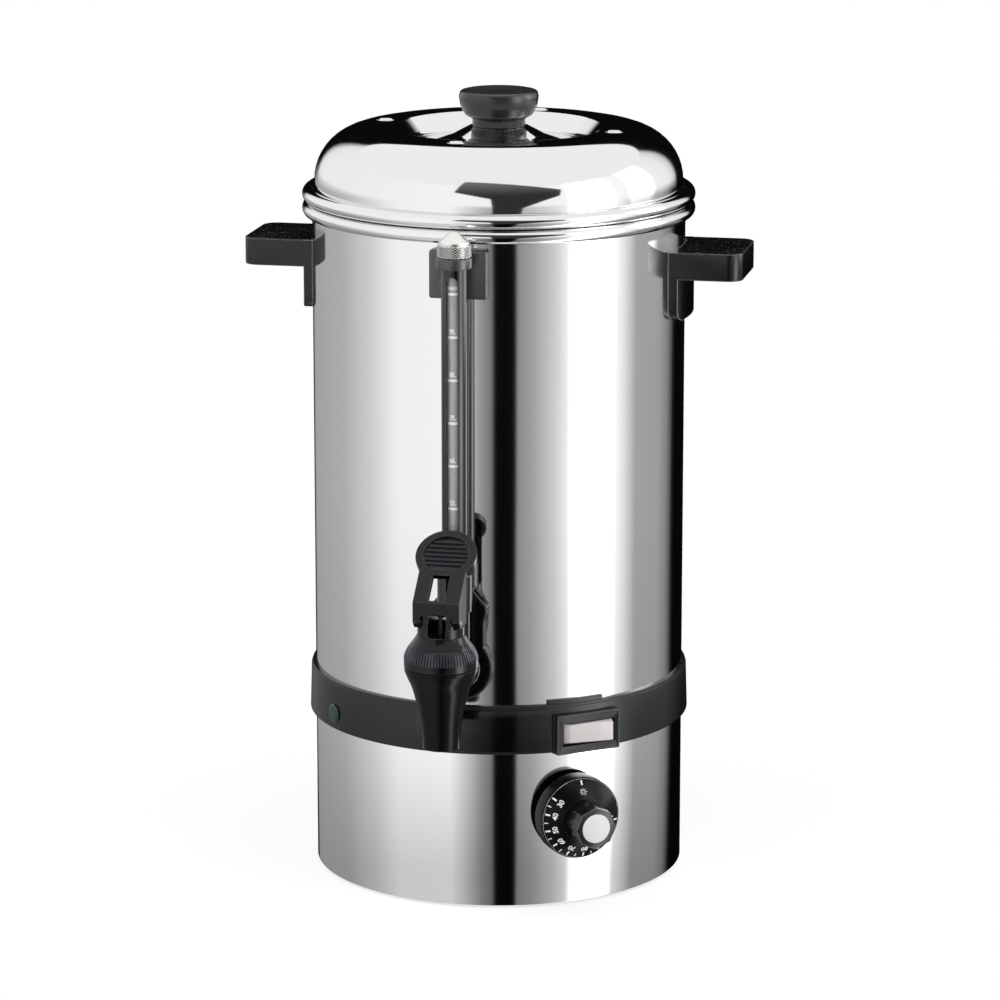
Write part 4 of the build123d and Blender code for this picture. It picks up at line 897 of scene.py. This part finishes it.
# the sight gauge: a round channel with a slot down its front
gaugeSizes = {
    "out": 128.0,
    "guard": 7.65,
    "inner": 6.35,
    "low": 193.1,
    "high": 394.1,
    "slot": 7.0,
    "slotTop": 383.0,
    "slotLength": 183.0,
    "edge": 0.15,
    "steps": 96,
}
q = gaugeSizes
gaugeAxis = (0, -q["out"])
slotOut = -(q["out"] + 10)  # the slot's cutters reach from the axis to well in front
channelWall = [
    (q["inner"], q["low"]), (q["guard"], q["low"]), (q["guard"], q["high"]),
    (q["inner"], q["high"]),
]
guard = turnedTube("gauge_channel", channelWall, gaugePlastic, q["steps"], gaugeAxis)
slotCut = bmesh.new()
slotEnd = Matrix.Translation((0, slotOut * mm, q["slotTop"] * mm))
bar(slotCut, q["slot"] / 2, 20, slotEnd @ forwards)
slotRound = finishPiece(slotCut, "slot_round", gaugePlastic)
slotSize = (q["slot"], 20, q["slotLength"])
slotPlace = (0, slotOut, q["slotTop"] - q["slotLength"] / 2)
combined(slotRound, blockPiece("slot_bar", gaugePlastic, slotSize, slotPlace), "UNION")
combined(guard, slotRound, "DIFFERENCE")
softened(guard, q["edge"])
put(guard, "black_plastic", "gauge_guard")


def knurled(name, chain, teeth, depth, low, high, material, at, rows=0, ridged=False):
    # a turned piece whose wall between two heights has straight teeth, or rows of little pyramids
    bm = bmesh.new()
    spinChain(bm, chain, teeth * 4)
    # this attribute carries the painted shade of the grooves and the painted highlight of the
    # ridges
    groove = bm.verts.layers.float_color.new("groove")
    for v in bm.verts:
        if low * mm - 1e-7 <= v.co.z <= high * mm + 1e-7:
            turn = atan2(v.co.y, v.co.x) / tau * teeth
            if rows:
                climb = (v.co.z / mm - low) / (high - low) * rows
                sides = [1 - abs(2 * ((turn + way * climb) % 1.0) - 1) for way in (1, -1)]
                cut = (1 - min(sides)) ** 2
            else:
                cut = 1.0 if abs(turn % 1.0 - 0.5) < 0.2 else 0.0
            v[groove] = (cut, cut, cut, 1)
            v.co -= Vector((v.co.x, v.co.y, 0)).normalized() * depth * cut * mm
        else:
            v[groove] = (1, 1, 1, 1) if ridged else (0, 0, 0, 1)
    bmesh.ops.translate(bm, verts=bm.verts, vec=(at[0] * mm, at[1] * mm, 0))
    return finishPiece(bm, name, material, 25)


# the cap nut: a knurled drum under a cone; heights of its top count from the knurl's end
nutSizes = {
    "foot": [(5.2, 0), (9.0, 0), (9.7, 0.4)],
    "low": 397.55,
    "knurl": 405.15,
    "plain": 0.8,
    "radius": 10.0,
    "teeth": 24,
    "rows": 4,
    "tooth": 0.6,
    "top": [
        (9.7, -0.4), (8.6, 0), (8.4, 0.6), (9.0, 0.7, 0.2), (9.0, 1.3, 0.4), (2.2, 7.1, 1.2),
        (0, 7.4),
    ],
}
n = nutSizes
knurlLow = n["low"] + n["plain"]
knurlHigh = n["knurl"] - n["plain"]
rings = n["rows"] * 4  # four rings of points to a row of teeth
nutChain = rounded([(r, n["low"] + z) for r, z in n["foot"]], 4)
for i in range(rings + 1):
    nutChain.append((n["radius"] * mm, (knurlLow + (knurlHigh - knurlLow) * i / rings) * mm))
nutChain += rounded([(r, n["knurl"] + z, *fillet) for r, z, *fillet in n["top"]], 4)
nut = knurled(
    "gauge_nut", nutChain, n["teeth"], n["tooth"], knurlLow, knurlHigh, nickel, gaugeAxis, n["rows"]
)
put(nut, "nickel", "gauge_cap_nut")

# the upper bracket: a collar round the glass, a saddle on the tank and a web between them
bracketSizes = {
    "collar": [
        (5.1, 391.1), (10.6, 391.1, 0.8), (10.6, 397.5, 0.8), (7.0, 397.5), (7.0, 403.1),
        (5.1, 403.1),
    ],
    "saddle": (34.5, 12, 28.5),
    "front": 118.8,
    "z": 385.25,
    "edge": 1.6,
    "tank": 112.55,
    "nutRoom": (10.3, 397.5),
    "web": (18.4, 10, 4.8),
    "webMiddle": (0, -118.0, 394.3),
    "webEdge": 0.3,
}
k = bracketSizes
collar = turnedTube("gauge_collar", k["collar"], bracketPlastic, q["steps"], gaugeAxis, 4)
saddlePlace = (0, -(k["front"] - k["saddle"][1] / 2), k["z"])
saddle = blockPiece("gauge_saddle", bracketPlastic, k["saddle"], saddlePlace, k["edge"], 4)
combined(saddle, drum("saddle_core", k["tank"], 350, 430, bracketPlastic), "DIFFERENCE")
room, roomLow = k["nutRoom"]
nutRoom = drum("saddle_room", room, roomLow, 430, bracketPlastic, q["steps"], gaugeAxis)
combined(saddle, nutRoom, "DIFFERENCE")
web = blockPiece("gauge_web", bracketPlastic, k["web"], k["webMiddle"], k["webEdge"])
put(saddle, "black_plastic", "gauge_bracket")
put(collar, "black_plastic")
put(web, "black_plastic")

# the lower collar, open at the front like the guard
footSizes = {
    "wall": [(7.7, 187.0), (10.4, 187.0, 0.8), (10.4, 210.0, 0.8), (7.7, 210.0)],
    "top": 210.0,
    "open": 15.0,
}
foot = turnedTube("gauge_foot", footSizes["wall"], gaugePlastic, q["steps"], gaugeAxis, 4)
slotSize = (q["slot"], 20, 2 * footSizes["open"])
slotPlace = (0, slotOut, footSizes["top"])
combined(foot, blockPiece("foot_slot", gaugePlastic, slotSize, slotPlace), "DIFFERENCE")
put(foot, "black_plastic")

# the reading scale, printed round the front of the glass
scaleSizes = {
    "labels": ("MAX", "9L", "8L", "7L", "6L", "5L", "4L", "3L"),
    "top": 376.6,
    "step": 25.4,
    "glass": 5.0,
    "half": 34.0,
    "bar": 1.5,
    "ink": (0.02, 0.07),
    "word": 3.0,
    "number": 4.1,
    "rise": 3.3,
    "above": 0.05,
}
m = scaleSizes
inkLow, inkHigh = m["ink"]
barSection = [(inkLow, -0.5), (inkHigh, -0.5), (inkHigh, 0.5), (inkLow, 0.5)]
scale = bmesh.new()
for i, label in enumerate(m["labels"]):
    z = m["top"] - m["step"] * i
    section = [((m["glass"] + r) * mm, (z + m["bar"] * side) * mm) for r, side in barSection]
    spinChain(scale, section, 16, True, start=-m["half"], arc=2 * m["half"])
    mesh = flatText("level", label, m["number"] if i else m["word"], printInk, 0.03)
    for vert in mesh.vertices:
        turn = vert.co.x / (m["glass"] * mm)
        out = m["glass"] * mm + vert.co.z + m["above"] * mm
        height = vert.co.y + (z + m["rise"]) * mm
        vert.co = Vector((out * sin(turn), -out * cos(turn), height))
    scale.from_mesh(mesh)
    bpy.data.meshes.remove(mesh)
bmesh.ops.translate(scale, verts=scale.verts, vec=(0, -q["out"] * mm, 0))
scalePiece = finishPiece(scale, "gauge_scale", printInk)
put(scalePiece, "white_plastic")
print("gauge done")

# the tap: a flaring spout with its chamber and shank
tapSizes = {
    "out": 166.5,
    "z": 150.0,
    "side": [
        (10.65, 114.9), (11.6, 127), (13.5, 138), (15.2, 145), (17.3, 152), (20.0, 158),
        (21.3, 161.3),
    ],
    "chamber": [
        (21.4, 161.5), (21.4, 163.6, 0.3), (18.0, 163.7), (18.0, 173.9), (12.5, 173.9),
        (12.5, 141.0), (6.5, 141.0), (6.5, 114.9, 0.4), (10.6, 114.9),
    ],
    "shank": [(11.0, 13, 144.2), (8.2, 44, 119.6)],  # radius, length and how far out
}
p = tapSizes
tapAxis = (0, -p["out"])
spoutSide = [(r * mm, z * mm) for r, z in splineChain(p["side"])]
spoutChain = spoutSide + rounded(p["chamber"], 3)
spout = turnedPiece("tap_spout", spoutChain, tapPlastic, 128, at=tapAxis)
put(spout, "black_plastic", "tap_body")
shank = bmesh.new()
for radius, length, out in p["shank"]:
    bar(shank, radius, length, Matrix.Translation((0, -out * mm, p["z"] * mm)) @ forwards, 64)
put(finishPiece(shank, "tap_shank", tapPlastic), "black_plastic")

# the bonnet: a ribbed ring that rounds over into the yoke
bonnetSizes = {
    "flange": [(18.15, 163.95), (21.4, 163.95), (21.7, 164.3), (21.7, 167.9), (21.7, 168.2)],
    "side": [
        (21.7, 168.3), (21.5, 170.5), (20.2, 173.8), (18.2, 177.0), (15.9, 180.0), (14.2, 182.8),
    ],
    "inside": [
        (13.85, 182.9), (13.85, 176.3), (17.3, 176.3), (17.3, 173.95), (18.15, 173.95),
        (18.15, 163.95),
    ],
    "ribs": 74,
    "rib": 0.45,
    "ribbed": (168.35, 176.2),
}
o = bonnetSizes
bonnetChain = [(r * mm, z * mm) for r, z in o["flange"] + splineChain(o["side"]) + o["inside"]]
low, high = o["ribbed"]
bonnet = knurled(
    "tap_bonnet", bonnetChain, o["ribs"], o["rib"], low, high, ridgePlastic, tapAxis, ridged=True
)
put(bonnet, "black_plastic", "bonnet_ring")

# the closing spring, which shortens as the valve lifts, is taken over from its solid as it stands
springSizes = {"travel": 4.9, "air": 0.05}
s = springSizes
coil = bmesh.new()
coil.from_mesh(nodes["tap_spring"].data)
spring = finishPiece(coil, "spring_coil", wire)
put(spring, "spring_steel", "tap_spring")
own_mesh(spring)
print("tap done")

# plain pieces keep the shape of their solids
dress(leverPlastic, "tap_yoke", "tap_lever", "tap_nut", "cord_gland", "gland_nut")
dress(basePlastic, "gauge_base")
dress(framePlastic, "switch_housing")
dress(sheetSteel, "base_screws", "thermostat_screws", "handle_screws", "bracket_screws")
dress(sheetSteel, "knob_screw", "knob_washer", "lever_pins", "lift_pin", "earth_stud", "earth_nut")
dress(tankSteel, "base_plate", "bulb_clip", "heating_element", "thermostat_body")
dress(rubber, "foot_ring")
dress(silicone, "gauge_lower_seal", "gauge_top_seal", "tap_gasket", "valve_cup")
dress(brass, "switch_spades", "thermostat_spindle", "knob_insert", "terminal_screws")
dress(copper, "thermostat_bulb")
dress(castAlloy, "heat_spreader")
dress(creamPlastic, "pilot_lamp", "safety_cutout", "terminal_block")
dress(acetal, "valve_stem")
dress(glass, "sight_tube")
print("plain pieces done")

# the view: lengths in metres, the focal length in thousandths of the picture's width
cameraSizes = {
    "azimuth": 11.6,
    "distance": 2.688,
    "height": 0.8495,
    "aim": 0.2247,
    "aside": 0.0007,
    "focal": 4511,
    "sensor": 36,
}
c = cameraSizes


def glossyOnly(piece):
    # seen in reflections, and in nothing else
    for flag in ("visible_camera", "visible_diffuse", "visible_shadow", "visible_transmission"):
        setattr(piece, flag, False)


def level(grey):
    # a grey as it should show in the steel, as light
    return hexColor("#" + 3 * format(grey, "02x"))[0]


# the walls of the light tent: azimuth from the camera and grey, low down as the tank sees them
# and high up as the lid does; a third number lights a strip beyond white
tentSizes = {
    "radius": 3.0,
    "low": -8.0,
    "high": 2.4,
    "gain": 1.24,
    "roof": 236,
    "blend": (0.0, 0.35),  # heights between which the low strips pass into the high ones
    "fall": (-1.15, -0.45),  # heights between which the walls grow darker to the floor
    "foot": 0.66,
    "lowStrips": [
        (-180, 6), (-165, 8), (-160, 150), (-150, 158), (-110, 172), (-84, 205), (-64, 240),
        (-30, 243), (-18, 190), (-11, 146), (-4.5, 116), (-2.6, 8), (9.6, 8), (11.4, 140),
        (20, 158), (34, 205), (42, 240), (45, 250, 1.6), (50, 250, 4.0), (64, 250, 4.0),
        (76, 250), (82, 226), (92, 162), (115, 156), (126, 128), (135, 30), (139, 6), (180, 6),
    ],
    "highStrips": [
        (-180, 8), (-157, 8), (-150, 222), (-140, 232), (-90, 238), (-40, 243), (30, 243),
        (42, 246), (52, 250, 3.0), (64, 250, 3.0), (76, 250), (86, 246), (90, 246, 3.5),
        (106, 246, 3.5), (112, 238), (130, 232), (139, 205), (145, 20), (152, 8), (180, 8),
    ],
}
e = tentSizes


def plainLight(name, grey):
    made = bpy.data.materials.new(name)
    made.use_nodes = True
    tree = made.node_tree
    tree.nodes.clear()
    color = [level(grey)] * 3 + [1]
    light = addNode(tree, "Emission", inputs={"Color": color, "Strength": e["gain"]})
    addNode(tree, "OutputMaterial", {"Surface": light})
    return made


def overHeight(tree, heights, values=(0, 1)):
    # a value that runs from one to another between two heights
    coords = addNode(tree, "TexCoord").outputs["Object"]
    height = addNode(tree, "SeparateXYZ", {"Vector": coords}).outputs["Z"]
    ends = dict(zip(("From Min", "From Max", "To Min", "To Max"), (*heights, *values)))
    return addNode(tree, "MapRange", {"Value": height}, ends)


def tentMaterial():
    made = plainLight("light_tent", 255)
    tree = made.node_tree
    coords = addNode(tree, "TexCoord").outputs["Object"]
    # the gradient's seam lies behind the urn, opposite the camera
    turn = (0, 0, radians(90 - c["azimuth"]))
    turned = addNode(tree, "Mapping", {"Vector": coords}, {"Rotation": turn})
    around = addNode(tree, "TexGradient", {"Vector": turned}, gradient_type="RADIAL")
    ramps = []
    for strips in (e["lowStrips"], e["highStrips"]):
        ramp = addNode(tree, "ValToRGB", {"Fac": around.outputs["Fac"]})
        points = ramp.color_ramp.elements
        while len(points) < len(strips):
            points.new(0.5)
        for point, (azimuth, grey, *boost) in zip(points, strips):
            point.position = (azimuth + 180) / 360
            point.color = [level(grey) * (boost[0] if boost else 1.0)] * 3 + [1]
        ramps.append(ramp.outputs["Color"])
    blend = overHeight(tree, e["blend"])
    both = addNode(tree, "Mix", {0: blend, 6: ramps[0], 7: ramps[1]}, data_type="RGBA")
    join(both.outputs[2], tree.nodes["Emission"], "Color")
    fall = overHeight(tree, e["fall"], (e["gain"] * e["foot"], e["gain"]))
    join(fall, tree.nodes["Emission"], "Strength")
    return made


low, high = [(e["radius"], e[end]) for end in ("low", "high")]
glossyOnly(turnedPiece("tent_wall", [low, high], tentMaterial(), 128))
roofLight = plainLight("light_tent_roof", e["roof"])
glossyOnly(turnedPiece("tent_roof", [(0, e["high"]), high], roofLight, 128))

# the dark hood over the camera: corners as azimuth from the camera and elevation
hoodSizes = {
    "middle": 0.43,
    "distance": 1.6,
    "corners": [
        (-24.6, 42.1), (-27.7, 19.7), (-15.6, 14.5), (-4.0, 8.4), (-3.4, -9.0), (9.5, -9.0),
        (11.3, 6.1), (24.6, 9.0), (37.1, 12.0), (39.5, 23.0), (25.6, 30.6), (9.1, 38.0),
        (-7.8, 41.9),
    ],
    "heights": (0.85, 1.7),
    "greys": (44, 104),
}
o = hoodSizes


def hoodMaterial():
    # black cloth that pales towards its top
    made = plainLight("hood_cloth", o["greys"][0])
    tree = made.node_tree
    pale = overHeight(tree, o["heights"], [level(grey) for grey in o["greys"]])
    join(pale, tree.nodes["Emission"], "Color")
    return made


hood = bmesh.new()
ring = []
for azimuth, elevation in o["corners"]:
    a = radians(azimuth + c["azimuth"])
    rise = o["middle"] + o["distance"] * tan(radians(elevation))
    ring.append(hood.verts.new((sin(a) * o["distance"], -cos(a) * o["distance"], rise)))
hood.faces.new(ring)
bmesh.ops.triangulate(hood, faces=hood.faces)
glossyOnly(finishPiece(hood, "camera_hood", hoodMaterial()))

# the floor is white to the camera, and keeps a faint shadow round the foot
floorSizes = {"half": 12, "shadow": (0.14, 0.30), "least": 0.72}
shadowFrom, shadowTo = floorSizes["shadow"]
floorMaterial, floorTree, floorShader = newMaterial("paper_sweep", "#ffffff", 0.9)
path = addNode(floorTree, "LightPath")
white = addNode(floorTree, "Emission", inputs={"Color": (1, 1, 1, 1), "Strength": 1.0})
coords = addNode(floorTree, "TexCoord").outputs["Object"]
away = addNode(floorTree, "VectorMath", {0: coords}, operation="LENGTH").outputs["Value"]
fade = addNode(
    floorTree,
    "MapRange",
    {"Value": away},
    {"From Min": shadowFrom, "From Max": shadowTo, "To Min": floorSizes["least"]},
    interpolation_type="SMOOTHSTEP",
)
seen = addNode(floorTree, "Math", {0: fade, 1: path.outputs["Is Camera Ray"]}, operation="MULTIPLY")
mixed = addNode(floorTree, "MixShader", {0: seen, 1: floorShader, 2: white})
join(mixed, floorTree.nodes["Material Output"], "Surface")
floor = bmesh.new()
bmesh.ops.create_grid(floor, x_segments=1, y_segments=1, size=floorSizes["half"])
floorPiece = finishPiece(floor, "floor", floorMaterial)
floorPiece.visible_glossy = False

# the world lights the room softly, and is white where it is seen or mirrored
worldSizes = {"light": 0.45, "seen": 1.0}
world = bpy.data.worlds.new("studio")
scene.world = world
world.use_nodes = True
tree = world.node_tree
tree.nodes.clear()
path = addNode(tree, "LightPath")
shown = path.outputs["Is Camera Ray"]
for ray in ("Is Glossy Ray", "Is Transmission Ray"):
    shown = addNode(tree, "Math", {0: shown, 1: path.outputs[ray]}, operation="ADD", use_clamp=True)
plain, white = [
    addNode(tree, "Background", inputs={"Color": (1, 1, 1, 1), "Strength": strength})
    for strength in (worldSizes["light"], worldSizes["seen"])
]
either = addNode(tree, "MixShader", {"Fac": shown, 1: plain, 2: white})
addNode(tree, "OutputWorld", {"Surface": either})

# soft lamps: azimuth, elevation, distance and size in metres, watts
softLamps = {
    "lamp_left": (-45, 45, 2.0, 1.2, 16),
    "lamp_right": (60, 40, 2.0, 1.2, 17),
    "lamp_top": (10, 85, 1.8, 1.5, 15),
}
lampAim = Vector((0, 0, 0.25))
for name, (azimuth, elevation, distance, size, watts) in softLamps.items():
    lamp = bpy.data.lights.new(name, "AREA")
    lamp.energy = watts
    lamp.size = size
    piece = bpy.data.objects.new(name, lamp)
    scene.collection.objects.link(piece)
    a = radians(azimuth)
    up = radians(elevation)
    way = Vector((sin(a) * cos(up), -cos(a) * cos(up), sin(up)))
    piece.location = way * distance + lampAim
    piece.rotation_euler = way.to_track_quat("Z", "Y").to_euler()
    piece.visible_glossy = False

lens = bpy.data.cameras.new("view")
lens.sensor_width = c["sensor"]
lens.lens = c["sensor"] * c["focal"] / 1000
camera = bpy.data.objects.new("view", lens)
scene.collection.objects.link(camera)
a = radians(c["azimuth"])
camera.location = (sin(a) * c["distance"], -cos(a) * c["distance"], c["height"])
aim = Vector((cos(a) * c["aside"], sin(a) * c["aside"], c["aim"])) - camera.location
camera.rotation_euler = aim.to_track_quat("-Z", "Y").to_euler()
scene.camera = camera
scene.view_settings.view_transform = "Standard"
